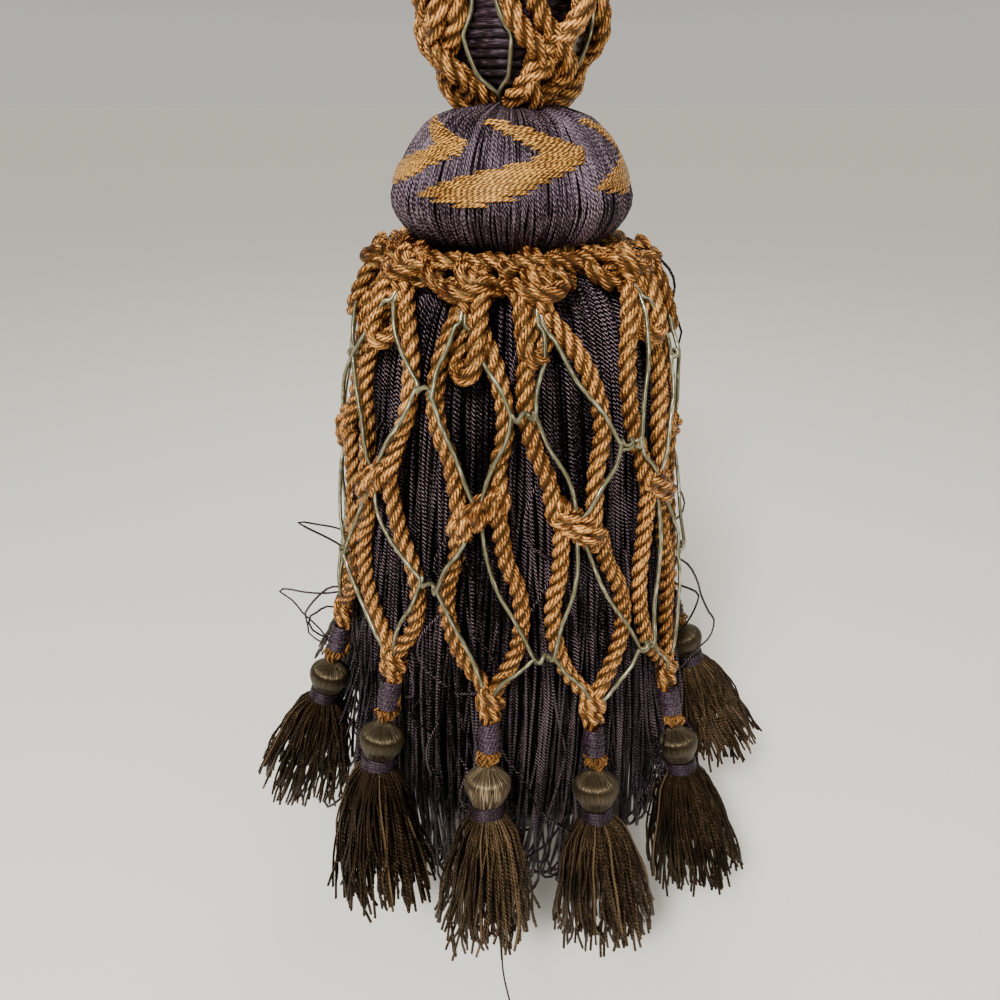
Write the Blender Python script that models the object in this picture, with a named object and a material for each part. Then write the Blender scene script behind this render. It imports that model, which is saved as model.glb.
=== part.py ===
"""Curtain tieback tassel: a cord-wrapped ball over a silk-covered head, a long yarn skirt, a knotted net of
rope and gimp over the skirt, and ten small tassels hanging from the net.

Units are millimetres until the meshes are made. The origin is the middle of the flat on top of the ball,
where the tieback cord goes in, and +Z is up. The tassel hangs, so it is all below the origin but for the
collar of rope. A height is given as a drop below the ball's foot, and an angle in degrees is counted from
the front, -Y, towards +X.
"""

import math
import random
from collections import namedtuple

import bmesh
import bpy
from mathutils import Matrix, Vector

MM = 0.001
GAP = 0.3  # between neighbouring pieces
SLACK = 0.5  # added to the gap where faceted pieces bend round each other

# ball
BALL_RADIUS = 21.0
BALL_HALF_AXIS = 23.8  # of the whole ellipsoid, before its two flats
BALL_HEIGHT = 46.0  # between the flats
BALL_RIBS = 13  # turns of the wrapping cord
RIB_DEPTH = 0.55
BALL_SIDES = 15
HEAD_SIDES = 22

# head: radius and drop down its silhouette
HEAD_PROFILE = (
    (8.0, 0.3),
    (15.0, 2.0),
    (23.2, 4.8),
    (27.6, 9.0),
    (31.0, 13.8),
    (33.9, 19.2),
    (35.8, 24.4),
    (36.0, 27.4),
    (34.0, 31.8),
    (29.8, 36.0),
    (24.0, 38.8),
    (16.0, 39.5),
)

# skirt: drop and radius of the yarn's outer surface
SKIRT_PROFILE = (
    (40.0, 31.0),
    (41.0, 35.5),
    (43.0, 37.5),
    (54.0, 42.0),
    (74.0, 47.2),
    (96.0, 50.3),
    (120.0, 53.0),
    (150.0, 56.5),
    (175.0, 59.0),
    (200.0, 61.0),
    (230.0, 63.0),
    (262.0, 64.0),
)
SKIRT_END = 259.0
SKIRT_RAGGED = 4.0  # how far lock ends differ in drop
SKIRT_RINGS = (  # rings of locks, from outside in
    {"count": 40, "share": 1.0, "sections": 4},
    {"count": 28, "share": 0.79, "sections": 3},
    {"count": 18, "share": 0.57, "sections": 3},
    {"count": 10, "share": 0.35, "sections": 3},
)
LOCK_FILL = 0.40  # a lock's radius over the pitch to its neighbour
LOCK_SIDES = 3
LOCK_WANDER = 0.06  # how far a lock strays from its place, in pitches
COLLAR_END = 50.0  # drop of the flat underside that the locks are rooted in
COLLAR_RIM = 0.4  # how far the underside reaches past the yarn
COLLAR_BORE = 22.0  # where the collar's top begins
COLLAR_SIDES = 30

# rope and gimp
ROPE_RADIUS = 2.4
ROPE_SIDES = 4
GIMP_RADIUS = 0.95
GIMP_SIDES = 3
RING_SIDES = 16  # straight lengths in a ring round the ball
LACING_PAIRS = 4  # pairs of ropes over the ball
LACING_FIRST = 25.0  # angle of the pair on the right of the front
LACING_LATITUDE = 55.0  # where the ropes end, above and below
LACING_CROSSING = 32.0  # latitude where the two ropes of a pair cross
LACING_SWAY = 28.0  # degrees that a rope stands from its pair's middle at the equator
LACING_STEP = 0.15  # how much deeper the second rope of a pair lies
GIMP_RING_LATITUDE = 42.0  # the turn of gimp under the crown
GIMP_LEAST_SWAY = 0.62  # how near the gimp comes to a pair's middle, as a share of the rope's sway
HEADING_DROP = 43.0  # the rope ring at the top of the net
HEADING_SIDES = 24

# knots of the net
KNOT_RADIUS = 4.2
KNOT_SIDES = 5
KNOT_GROOVE = 0.82  # share of the radius between two ridges
KNOT_END = 0.6  # share of the radius at the ends
KNOT_LIFT = KNOT_RADIUS + GAP + 0.1
ROPE_LIFT = ROPE_RADIUS + GAP + SLACK
GIMP_LIFT = 2 * (ROPE_RADIUS + GAP + SLACK) + GIMP_RADIUS
GIMP_STEP = 0.3  # how much deeper the second gimp at a link lies
GIMP_ASIDE = 1.2  # degrees from a knot's middle to the gimp in it
KNOT_HALF = 5.5  # half the length of a top or end knot
KNOT_RIDGES = 2
LONG_KNOT_HALF = 8.0  # the same of a middle knot, which winds further along the ropes
LONG_KNOT_RIDGES = 3

# Net columns: (angle, drop) of a column's top, middle and end knots, how far its rope legs bow to the left and
# the right of it, the lean of its middle knot, and how far its small tassel swings sideways, all in degrees but
# for the drops. The first six are those that show, the others are spaced evenly.
Column = namedtuple("Column", "top middle end left right lean swing")
NET_COLUMNS = (
    Column((-84, 43), (-84, 100), (-74, 167), 12, 13, 40, 4),
    Column((-48, 43), (-49, 104), (-38, 165), 14, 13, 52, 1),
    Column((-17, 46), (-10, 106), (-6, 170), 12, 11, 48, 0),
    Column((9, 46), (20, 111), (25, 177), 10, 15, -50, -5),
    Column((55, 43), (55, 108), (62, 185), 13, 9, -48, -11),
    Column((90, 44), (93, 103), (97, 170), 12, 13, -40, -11),
    Column((127, 44), (128, 106), (131, 168), 12, 12, 45, 0),
    Column((164, 45), (165, 107), (167, 170), 12, 12, -45, 0),
    Column((200, 44), (201, 105), (203, 168), 12, 12, 45, 0),
    Column((238, 43), (239, 106), (241, 167), 12, 12, -45, 0),
)

# Gimp links: (angle, drop) where a column's gimp crosses the next column's, above and below the middle knots.
Link = namedtuple("Link", "upper lower")
GIMP_LINKS = (
    Link((-65, 68), (-66, 136)),
    Link((-27, 71), (-24, 130)),
    Link((3, 76), (9, 152)),
    Link((38, 88), (44, 160)),
    Link((73, 70), (76, 140)),
    Link((109, 74), (112, 142)),
    Link((146, 78), (148, 138)),
    Link((182, 73), (185, 144)),
    Link((219, 76), (221, 139)),
    Link((257, 72), (258, 141)),
)

# small hanging tassels, down their own axis
HANGER_TILT = 18.0  # they lean out over the skirt's flare
WHIPPING_LENGTH = 11.0
WHIPPING_RADIUS = 4.2
WHIPPING_EASE = 1.0  # its rounded ends
HANGER_PROFILE = (  # radius and distance below the hanger's top
    (3.4, 0.0),
    (4.8, 1.6),
    (4.0, 3.6),
    (2.4, 4.6),
    (6.2, 7.0),
    (8.0, 10.4),
    (7.8, 13.8),
    (6.2, 17.2),
    (6.5, 19.5),
    (6.2, 22.4),
)
HANGER_SIDES = 8
HANGER_SPIN = 47.0  # degrees that each is turned from the last
FRINGE_LOCKS = 8
FRINGE_ROOT = 4.0  # radius of the ring of lock roots
FRINGE_SPREAD = 15.8  # the same at the tips
FRINGE_BELLY = 0.62  # how much of the spread is reached halfway down
FRINGE_RADII = [1.1, 2.6, 3.2]  # of a lock, from root to tip
FRINGE_END = 66.0
FRINGE_RAGGED = 2.5

rng = random.Random(7)


def interpolate(table, x):
    """The second value of a table at x, straight between its rows."""
    for (x0, y0), (x1, y1) in zip(table, table[1:]):
        if x <= x1:
            return y0 + (y1 - y0) * max(0.0, x - x0) / (x1 - x0)
    return table[-1][1]


def place(angle, radius, drop):
    """A point by its angle round the tassel, its distance from the axis and its drop."""
    a = math.radians(angle)
    return Vector((radius * math.sin(a), -radius * math.cos(a), -(drop + BALL_HEIGHT)))


def on_skirt(angle, drop, lift):
    """A point that far outside the skirt's yarn."""
    return place(angle, interpolate(SKIRT_PROFILE, drop) + lift, drop)


# ---------------------------------------------------------------- meshes


def skin(rings, closed=False):
    """A closed mesh over rings of points. A closed run joins its last ring to its first, others get two caps."""
    bm = bmesh.new()
    loops = [[bm.verts.new(p * MM) for p in ring] for ring in rings]
    pairs = list(zip(loops, loops[1:])) + ([(loops[-1], loops[0])] if closed else [])
    for upper, lower in pairs:
        for i in range(len(upper)):
            j = (i + 1) % len(upper)
            bm.faces.new((upper[i], upper[j], lower[j], lower[i]))
    if not closed:
        bm.faces.new(loops[0])
        bm.faces.new(loops[-1])
    bmesh.ops.recalc_face_normals(bm, faces=bm.faces)
    mesh = bpy.data.meshes.new("skin")
    bm.to_mesh(mesh)
    bm.free()
    return mesh


def turned(profile, sides):
    """A turned solid from (radius, height) rows down its silhouette."""
    steps = [2 * math.pi * i / sides for i in range(sides)]
    return skin([[Vector((r * math.sin(a), -r * math.cos(a), z)) for a in steps] for r, z in profile])


def tube(points, radii, sides, closed=False):
    """A round or few-sided tube along points, its sides kept square to the tassel's axis."""
    rings = []
    last = len(points) - 1
    for i, p in enumerate(points):
        before = points[i - 1] if closed or i else p
        after = points[(i + 1) % len(points)] if closed or i < last else p
        along = (after - before).normalized()
        outward = Vector((p.x, p.y, 0)).normalized()
        side = along.cross(outward).normalized()
        up = side.cross(along)
        radius = radii[i] if isinstance(radii, list) else radii
        turns = [2 * math.pi * (k + 0.5) / sides for k in range(sides)]
        rings.append([p + radius * (side * math.sin(a) + up * math.cos(a)) for a in turns])
    return skin(rings, closed)


def material(name, colour, roughness):
    """A plain finish of yarn or silk. The colour is linear."""
    made = bpy.data.materials.new(name)
    made.use_nodes = True
    shader = made.node_tree.nodes["Principled BSDF"]
    shader.inputs["Base Color"].default_value = (*colour, 1)
    shader.inputs["Roughness"].default_value = roughness
    shader.inputs["Metallic"].default_value = 0
    return made


def add(name, mesh, finish, matrix=None):
    """An object in the scene, with its own smooth-shaded mesh and its material."""
    obj = bpy.data.objects.new(name, mesh)
    bpy.context.scene.collection.objects.link(obj)
    if matrix:
        obj.matrix_world = matrix
    if not mesh.materials:
        mesh.materials.append(finish)
        mesh.shade_smooth()
        mesh.set_sharp_from_angle(angle=math.radians(40))
    return obj


def fused(meshes):
    """One mesh that is the union of closed ones."""
    operands = bpy.data.collections.new("operands")
    bpy.context.scene.collection.children.link(operands)
    parts = [bpy.data.objects.new("operand", mesh) for mesh in meshes]
    bpy.context.scene.collection.objects.link(parts[0])
    for part in parts[1:]:
        operands.objects.link(part)
    union = parts[0].modifiers.new("union", "BOOLEAN")
    union.operation = "UNION"
    union.solver = "EXACT"
    union.operand_type = "COLLECTION"
    union.collection = operands
    graph = bpy.context.evaluated_depsgraph_get()
    joined = bpy.data.meshes.new_from_object(parts[0].evaluated_get(graph))
    for part in parts:
        bpy.data.objects.remove(part)
    bpy.data.collections.remove(operands)
    return joined


# ---------------------------------------------------------------- ball and head


def ball_point(latitude, lift=0.0):
    """(radius, height) that far outside the ball at a latitude."""
    a = math.radians(latitude)
    normal = Vector((math.cos(a) / BALL_RADIUS, math.sin(a) / BALL_HALF_AXIS)).normalized()
    radius = BALL_RADIUS * math.cos(a) + lift * normal.x
    return radius, BALL_HALF_AXIS * math.sin(a) + lift * normal.y - BALL_HEIGHT / 2


def make_ball(finish):
    """The ball, with a ridge for each turn of its wrapping cord and a flat at its crown and foot."""
    flat_latitude = math.degrees(math.asin(BALL_HEIGHT / 2 / BALL_HALF_AXIS))
    steps = 2 * BALL_RIBS
    profile = []
    for i in range(steps + 1):
        latitude = flat_latitude * (1 - 2 * i / steps)
        groove = RIB_DEPTH if i % 2 == 0 and 0 < i < steps else 0.0
        profile.append(ball_point(latitude, -groove))
    return add("ball", turned(profile, BALL_SIDES), finish)


def over_ball(angle, latitude, lift):
    """A point that far outside the ball at an angle and latitude."""
    radius, height = ball_point(latitude, lift)
    return place(angle, radius, -height - BALL_HEIGHT)


def lacing_sway(latitude):
    """Degrees that a lacing rope stands from its pair's middle. Past the crossing it is on the other side."""
    return LACING_SWAY * math.cos(math.pi / 2 * latitude / LACING_CROSSING)


def ring_round_ball(latitude, lift, radius, sides):
    angles = [360 * i / RING_SIDES for i in range(RING_SIDES)]
    return tube([over_ball(angle, latitude, lift) for angle in angles], radius, sides, closed=True)


def make_ball_lacing(finish):
    """Pairs of ropes from crown to foot that cross above and below the equator, and the collar joining them."""
    steps = 8
    lift = ROPE_RADIUS + GAP + SLACK / 2
    parts = [ring_round_ball(LACING_LATITUDE, lift, ROPE_RADIUS, ROPE_SIDES)]
    for i in range(LACING_PAIRS):
        middle = LACING_FIRST + 360 * i / LACING_PAIRS
        for side in (-1, 1):
            points = []
            for step in range(steps + 1):
                latitude = LACING_LATITUDE * (1 - 2 * step / steps)
                depth = LACING_STEP if side > 0 else 0
                points.append(over_ball(middle + side * lacing_sway(latitude), latitude, lift - depth))
            parts.append(tube(points, ROPE_RADIUS, ROPE_SIDES))
    return add("ball_lacing", fused(parts), finish)


def make_ball_gimp(finish):
    """Gimp down the ball beside the outer side of each rope, gathered by a turn of gimp under the crown."""
    steps = 7
    low = GIMP_RADIUS + GAP
    high = 2 * (ROPE_RADIUS + GAP) + GIMP_RADIUS + SLACK
    parts = [ring_round_ball(GIMP_RING_LATITUDE, high, GIMP_RADIUS, GIMP_SIDES)]
    for i in range(LACING_PAIRS):
        middle = LACING_FIRST + 360 * i / LACING_PAIRS
        for side in (-1, 1):
            points = []
            for step in range(steps + 1):
                latitude = GIMP_RING_LATITUDE - (GIMP_RING_LATITUDE + LACING_LATITUDE) * step / steps
                beside = math.degrees((ROPE_RADIUS + GIMP_RADIUS + 2 * GAP) / ball_point(latitude, low)[0])
                sway = max(abs(lacing_sway(latitude)), GIMP_LEAST_SWAY * LACING_SWAY) + beside
                lift = high if step == 0 else low
                points.append(over_ball(middle + side * sway, latitude, lift))
            parts.append(tube(points, GIMP_RADIUS, GIMP_SIDES))
    return add("ball_gimp", fused(parts), finish)


def make_head(finish):
    profile = [(radius, -(drop + BALL_HEIGHT)) for radius, drop in HEAD_PROFILE]
    return add("head", turned(profile, HEAD_SIDES), finish)


# ---------------------------------------------------------------- skirt


def skirt_lock(angle, ring):
    """One lock of skirt yarn. It widens as the skirt flares, and is rooted in the collar."""
    end = SKIRT_END + rng.uniform(-SKIRT_RAGGED, SKIRT_RAGGED)
    top = COLLAR_END - 2
    points, radii = [], []
    for i in range(ring["sections"]):
        drop = top + (end - top) * i / (ring["sections"] - 1)
        surface = interpolate(SKIRT_PROFILE, drop) * ring["share"]
        radius = LOCK_FILL * 2 * math.pi * surface / (ring["count"] + 2 * math.pi * LOCK_FILL)
        points.append(place(angle, surface - radius, drop))
        radii.append(radius)
    return tube(points, radii, LOCK_SIDES)


def make_skirt(finish):
    """The sewn collar under the head and the locks that hang from it."""
    shoulder = [(radius, drop) for drop, radius in SKIRT_PROFILE if drop < COLLAR_END]
    rim = interpolate(SKIRT_PROFILE, COLLAR_END) + COLLAR_RIM
    top = HEAD_PROFILE[-1][1] + GAP
    collar = [(COLLAR_BORE, top), *shoulder, (rim, COLLAR_END), (COLLAR_BORE / 2, COLLAR_END)]
    parts = [turned([(radius, -(drop + BALL_HEIGHT)) for radius, drop in collar], COLLAR_SIDES)]
    for ring in SKIRT_RINGS:
        pitch = 360 / ring["count"]
        first = rng.uniform(0, pitch)
        for i in range(ring["count"]):
            parts.append(skirt_lock(first + pitch * (i + rng.uniform(-LOCK_WANDER, LOCK_WANDER)), ring))
    return add("skirt", fused(parts), finish)


# ---------------------------------------------------------------- net


def ridged_knot(angle, drop, lean, half, ridges):
    """A knot as a bead with a ridge for each wrap of rope, lying along the skirt's slope and leaned over."""
    rise = interpolate(SKIRT_PROFILE, drop + half) - interpolate(SKIRT_PROFILE, drop)
    slope = math.atan2(rise, half)
    centre = on_skirt(angle, drop, KNOT_LIFT / math.cos(slope))
    steps = 2 * ridges
    profile = []
    for i in range(steps + 1):
        share = KNOT_END if i in (0, steps) else 1 if i % 2 else KNOT_GROOVE
        profile.append((KNOT_RADIUS * share, half * (1 - 2 * i / steps)))
    mesh = turned(profile, KNOT_SIDES)
    turn = Matrix.Rotation(math.radians(angle), 4, "Z") @ Matrix.Rotation(-slope, 4, "X")
    mesh.transform(Matrix.Translation(centre * MM) @ turn @ Matrix.Rotation(math.radians(lean), 4, "Y"))
    return mesh


def rope_leg(upper, lower, bow):
    """One rope between two knots of a column, bowed sideways by so many degrees."""
    steps = 4
    points = []
    for i in range(steps + 1):
        share = i / steps
        angle = upper[0] + (lower[0] - upper[0]) * share + bow * math.sin(math.pi * share)
        drop = upper[1] + (lower[1] - upper[1]) * share
        points.append(on_skirt(angle, drop, ROPE_LIFT))
    return tube(points, ROPE_RADIUS, ROPE_SIDES)


def gimp_run(stops, deeper):
    """A length of gimp through (angle, drop) stops, just outside the rope, that goes in and out of the knots."""
    points = [on_skirt(angle, drop, GIMP_LIFT - deeper) for angle, drop in stops]
    return tube(points, GIMP_RADIUS, GIMP_SIDES)


def gimp_pair(left, right, link):
    """The two gimps between neighbouring columns. They cross at the links and turn back in the knots."""
    pair = []
    for start, other, side in ((left, right, 1), (right, left, -1)):
        stops = [
            (start.top[0] - side * GIMP_ASIDE, start.top[1]),
            link.upper,
            (other.middle[0] - side * GIMP_ASIDE, other.middle[1]),
            link.lower,
            (start.end[0] + side * GIMP_ASIDE, start.end[1]),
        ]
        middle = link.upper[0]
        unwound = [((angle - middle + 180) % 360 - 180 + middle, drop) for angle, drop in stops]
        pair.append(gimp_run(unwound, GIMP_STEP if side > 0 else 0.0))
    return pair


def make_net(finish):
    """The heading rope, three knots and two rope eyes for each column, and the gimp tied into the same knots."""
    angles = [360 * i / HEADING_SIDES for i in range(HEADING_SIDES)]
    heading = [on_skirt(angle, HEADING_DROP, ROPE_LIFT + GAP) for angle in angles]
    parts = [tube(heading, ROPE_RADIUS, ROPE_SIDES, closed=True)]
    for i, column in enumerate(NET_COLUMNS):
        parts.append(ridged_knot(*column.top, 0, KNOT_HALF, KNOT_RIDGES))
        parts.append(ridged_knot(*column.middle, column.lean, LONG_KNOT_HALF, LONG_KNOT_RIDGES))
        parts.append(ridged_knot(*column.end, 0, KNOT_HALF, KNOT_RIDGES))
        for upper, lower in ((column.top, column.middle), (column.middle, column.end)):
            parts.append(rope_leg(upper, lower, -column.left))
            parts.append(rope_leg(upper, lower, column.right))
        parts += gimp_pair(column, NET_COLUMNS[(i + 1) % len(NET_COLUMNS)], GIMP_LINKS[i])
    return add("net", fused(parts), finish)


# ---------------------------------------------------------------- small hanging tassels


def make_hanger_mesh():
    """A small tassel: rope tuft, covered head and band turned as one, and locks rooted under the band."""
    parts = [turned([(radius, -down) for radius, down in HANGER_PROFILE], HANGER_SIDES)]
    root = HANGER_PROFILE[-1][1] - 2  # inside the band
    for i in range(FRINGE_LOCKS):
        angle = math.radians(360 * i / FRINGE_LOCKS)
        out = Vector((math.sin(angle), -math.cos(angle), 0))
        end = FRINGE_END + rng.uniform(-FRINGE_RAGGED, FRINGE_RAGGED)
        points = []
        for spread, down in ((0, root), (FRINGE_BELLY, (root + end) / 2), (1, end)):
            radius = FRINGE_ROOT + spread * (FRINGE_SPREAD - FRINGE_ROOT)
            points.append(out * radius - Vector((0, 0, down)))
        parts.append(tube(points, FRINGE_RADII, LOCK_SIDES))
    return fused(parts)


def make_hangers(whipping_finish, hanger_finish):
    """Under each column's end knot, a whipping round the rope ends and a small tassel below it."""
    whipping = turned(
        [
            (WHIPPING_RADIUS - WHIPPING_EASE, 0.0),
            (WHIPPING_RADIUS, -WHIPPING_EASE),
            (WHIPPING_RADIUS, WHIPPING_EASE - WHIPPING_LENGTH),
            (WHIPPING_RADIUS - WHIPPING_EASE, -WHIPPING_LENGTH),
        ],
        HANGER_SIDES,
    )
    hanger = make_hanger_mesh()
    whipping_top = -(KNOT_HALF + 2 * GAP)
    hanger_top = whipping_top - WHIPPING_LENGTH - GAP
    for i, column in enumerate(NET_COLUMNS):
        angle, drop = column.end
        knot = on_skirt(angle, drop, KNOT_LIFT)
        frame = (
            Matrix.Translation(knot * MM)
            @ Matrix.Rotation(math.radians(angle), 4, "Z")
            @ Matrix.Rotation(math.radians(-column.swing), 4, "Y")
            @ Matrix.Rotation(math.radians(-HANGER_TILT), 4, "X")
        )
        spin = Matrix.Rotation(math.radians(HANGER_SPIN * i), 4, "Z")
        below_knot = frame @ Matrix.Translation((0, 0, whipping_top * MM))
        below_whipping = frame @ Matrix.Translation((0, 0, hanger_top * MM)) @ spin
        add(f"whipping_{i + 1:02d}", whipping, whipping_finish, below_knot)
        add(f"hanger_{i + 1:02d}", hanger, hanger_finish, below_whipping)


def main():
    for obj in list(bpy.data.objects):
        bpy.data.objects.remove(obj)
    aubergine_cord = material("aubergine_cord", (0.030, 0.016, 0.028), 0.45)
    aubergine_silk = material("aubergine_silk", (0.062, 0.043, 0.060), 0.5)
    skirt_yarn = material("skirt_yarn", (0.018, 0.010, 0.017), 0.5)
    old_gold_rope = material("old_gold_rope", (0.34, 0.145, 0.040), 0.42)
    olive_gimp = material("olive_gimp", (0.21, 0.19, 0.115), 0.45)
    hanger_silk = material("hanger_silk", (0.075, 0.048, 0.026), 0.5)
    make_ball(aubergine_cord)
    make_ball_lacing(old_gold_rope)
    make_ball_gimp(olive_gimp)
    make_head(aubergine_silk)
    make_skirt(skirt_yarn)
    make_net(old_gold_rope)
    make_hangers(aubergine_silk, hanger_silk)


main()
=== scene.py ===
# %% [markdown]
# # A curtain tieback tassel, dressed over its CAD frame
# The CAD model gives every piece its place and its size. This script keeps that frame and puts the real
# surfaces over it: laid rope, wound gimp, silk threads, spun yarn and fringe. Each piece is a set of paths,
# and one Geometry Nodes tree lays a cord along every path.

# %% Load the frame
import functools
import math
import random

import bpy
from mathutils import Matrix, Vector


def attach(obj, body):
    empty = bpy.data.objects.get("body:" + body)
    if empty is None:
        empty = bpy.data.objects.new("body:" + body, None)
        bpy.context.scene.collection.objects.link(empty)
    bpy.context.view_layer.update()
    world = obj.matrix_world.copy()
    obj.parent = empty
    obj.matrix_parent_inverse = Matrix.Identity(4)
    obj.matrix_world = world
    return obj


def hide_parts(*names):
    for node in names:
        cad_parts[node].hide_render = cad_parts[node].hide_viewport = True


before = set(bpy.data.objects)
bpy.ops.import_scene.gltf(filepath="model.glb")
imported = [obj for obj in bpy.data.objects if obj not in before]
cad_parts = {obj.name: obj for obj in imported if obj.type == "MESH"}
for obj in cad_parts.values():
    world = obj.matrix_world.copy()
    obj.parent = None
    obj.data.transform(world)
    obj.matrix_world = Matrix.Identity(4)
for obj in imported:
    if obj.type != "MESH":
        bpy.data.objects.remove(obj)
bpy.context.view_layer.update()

MM = 0.001
print("CAD nodes:", len(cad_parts))

# %% [markdown]
# ## Camera, floor and light
# The tassel was photographed from a hand's breadth above its middle, looking down at it from close by. A lens
# of 27.5 mm on a 36 mm sensor gives the same narrowing towards the foot. The floor is plain and pale, and the
# light is soft, as from a big window with a pale room behind the camera.

# %% Camera
CAMERA_PLACE = (-3.5, -249.0, -46.0)
LOOKING_DOWN = 27.6  # degrees
LENS = 27.54
NEAREST = 10.0  # the least distance that it sees


def put(name, data):
    """A new object in the scene."""
    made = bpy.data.objects.new(name, data)
    bpy.context.scene.collection.objects.link(made)
    return made


camera_data = bpy.data.cameras.new("camera")
camera_data.lens = LENS
camera_data.sensor_width = 36
camera_data.clip_start = NEAREST * MM
camera = put("camera", camera_data)
camera.location = Vector(CAMERA_PLACE) * MM
camera.rotation_euler = (math.radians(90 - LOOKING_DOWN), 0, 0)
bpy.context.scene.camera = camera
print("camera lens in mm:", camera_data.lens)


# %% Colours and nodes
def linear(code):
    """Linear red, green, blue and alpha of an sRGB hex colour."""
    parts = [int(code[i : i + 2], 16) / 255 for i in (1, 3, 5)]
    return (*[p / 12.92 if p <= 0.04045 else ((p + 0.055) / 1.055) ** 2.4 for p in parts], 1)


def add_node(tree, kind, inputs=(), output=0, **settings):
    """One output of a new node with these settings. Its inputs are set to values or linked from sockets."""
    node = tree.nodes.new(kind)
    for name, value in settings.items():
        setattr(node, name, value)
    for key, value in dict(inputs).items():
        if isinstance(value, bpy.types.NodeSocket):
            tree.links.new(value, node.inputs[key])
        else:
            node.inputs[key].default_value = value
    return node.outputs[output] if node.outputs else None


print("pale floor in linear colour:", linear("#F4EFE3")[:3])

# %% [markdown]
# The floor is a matt board well below the fringe, and so large that it meets the pale room behind it. World
# light fills the shadows, and a broad soft sun lights the floor evenly out to its edge. Three area lights give
# the silk its highlights: the key from the upper left, a weaker one from the right, and a rim light behind.

# %% Floor and lights
FLOOR_DROP = 345.0
FLOOR_HALF = 40000.0
LIGHTS = (  # place in mm, size in mm, watts
    ((-220, -620, 430), 130, 10),
    ((560, -480, 160), 420, 1.5),
    ((60, 460, 640), 520, 2.5),
)
LIT = Vector((0, 0, -150))  # what they point at
SUN_STRENGTH = 1.7
SUN_ANGLE = 22.0  # how wide it looks, in degrees, which makes its shadows soft
SUN_WAY = Vector((0.35, 0.7, -1.0))  # the way its light goes
ROOM_LOW = 0.66  # strength of the world light at the horizon and overhead
ROOM_HIGH = 0.3
floor_mesh = bpy.data.meshes.new("floor")
floor_corners = [(x * FLOOR_HALF, y * FLOOR_HALF, -FLOOR_DROP) for x, y in ((-1, -1), (1, -1), (1, 1), (-1, 1))]
floor_mesh.from_pydata([Vector(corner) * MM for corner in floor_corners], [], [(0, 1, 2, 3)])
floor_board = put("floor", floor_mesh)
matt_board = bpy.data.materials.new("matt pale board")
matt_board.use_nodes = True
board_shader = matt_board.node_tree.nodes["Principled BSDF"]
board_shader.inputs["Base Color"].default_value = linear("#F4EFE3")
board_shader.inputs["Roughness"].default_value = 0.9
floor_mesh.materials.append(matt_board)

world = bpy.data.worlds.new("pale room")
world.use_nodes = True
room = world.node_tree
room.nodes["Background"].inputs["Color"].default_value = linear("#F3EEE4")
# the room is paler near the horizon, where it meets the floor, than overhead
look = add_node(room, "ShaderNodeTexCoord", output="Generated")
height = add_node(room, "ShaderNodeSeparateXYZ", {0: look}, "Z")
steps = {"Value": height, "From Min": 0.06, "From Max": 0.35, "To Min": ROOM_LOW, "To Max": ROOM_HIGH}
room.links.new(add_node(room, "ShaderNodeMapRange", steps), room.nodes["Background"].inputs["Strength"])
bpy.context.scene.world = world
for number, (spot, size, watts) in enumerate(LIGHTS):
    light_data = bpy.data.lights.new(f"light_{number}", "AREA")
    light_data.size = size * MM
    light_data.energy = watts
    light = put(f"light_{number}", light_data)
    light.location = Vector(spot) * MM
    light.rotation_euler = (LIT - Vector(spot)).to_track_quat("-Z", "Y").to_euler()
sun_data = bpy.data.lights.new("soft_sun", "SUN")
sun_data.energy = SUN_STRENGTH
sun_data.angle = math.radians(SUN_ANGLE)
sun = put("soft_sun", sun_data)
sun.rotation_euler = SUN_WAY.to_track_quat("-Z", "Y").to_euler()
print("lights:", len(LIGHTS) + 1)

# %% [markdown]
# ## Where things are
# Every place on the tassel is given by its angle round the axis, from the front and to the right, and by its
# drop below the foot of the ball. The skirt's outline is a table of drops and radii, the same as in the CAD.

# %% Places on the tassel
BALL_HEIGHT = 46.0
SKIRT_PROFILE = (  # drop and radius of the yarn's outside
    (40, 31), (41, 35.5), (43, 37.5), (54, 42), (74, 47.2), (96, 50.3), (120, 53), (150, 56.5), (175, 59),
    (200, 61), (230, 63), (262, 64),
)


def interpolate(table, x):
    """The second value of a table at x, straight between its rows."""
    for (x0, y0), (x1, y1) in zip(table, table[1:]):
        if x <= x1:
            return y0 + (y1 - y0) * max(0.0, x - x0) / (x1 - x0)
    return table[-1][1]


def place(angle, radius, drop):
    """A point by its angle, its distance from the axis and its drop."""
    a = math.radians(angle)
    return Vector((radius * math.sin(a), -radius * math.cos(a), -(drop + BALL_HEIGHT)))


def on_skirt(angle, drop, lift):
    """A point that far outside the skirt's yarn."""
    return place(angle, interpolate(SKIRT_PROFILE, drop) + lift, drop)


def rounded(points, steps, closed=False):
    """A smooth path through points, with so many steps between two of them."""
    count = len(points)
    made = []
    for i in range(count if closed else count - 1):
        near = range(i - 1, i + 3)
        a, b, c, d = [points[k % count if closed else min(max(k, 0), count - 1)] for k in near]
        for k in range(steps):
            t = k / steps
            bend = (2 * a - 5 * b + 4 * c - d) * t**2 + (3 * b - 3 * c + d - a) * t**3
            made.append(0.5 * (2 * b + (c - a) * t + bend))
    return made if closed else made + [points[-1]]


print("skirt radius at its foot in mm:", interpolate(SKIRT_PROFILE, 262))

# %% [markdown]
# ## One tree for every cord
# A real cord is strands laid round each other. In the tree a lobed ring, one lobe for each strand, is swept
# along the path while it turns, so its lobes become the strands. The groove says how deep it is between two
# of them, and the lay how far one turn goes. The path brings its own thickness and tone, a number that lets
# neighbouring threads differ a little in colour. The tree also stores where on the cord each point is, how far
# along and how far round, and which way the cord runs there. The materials draw the fibres from that.

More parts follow.
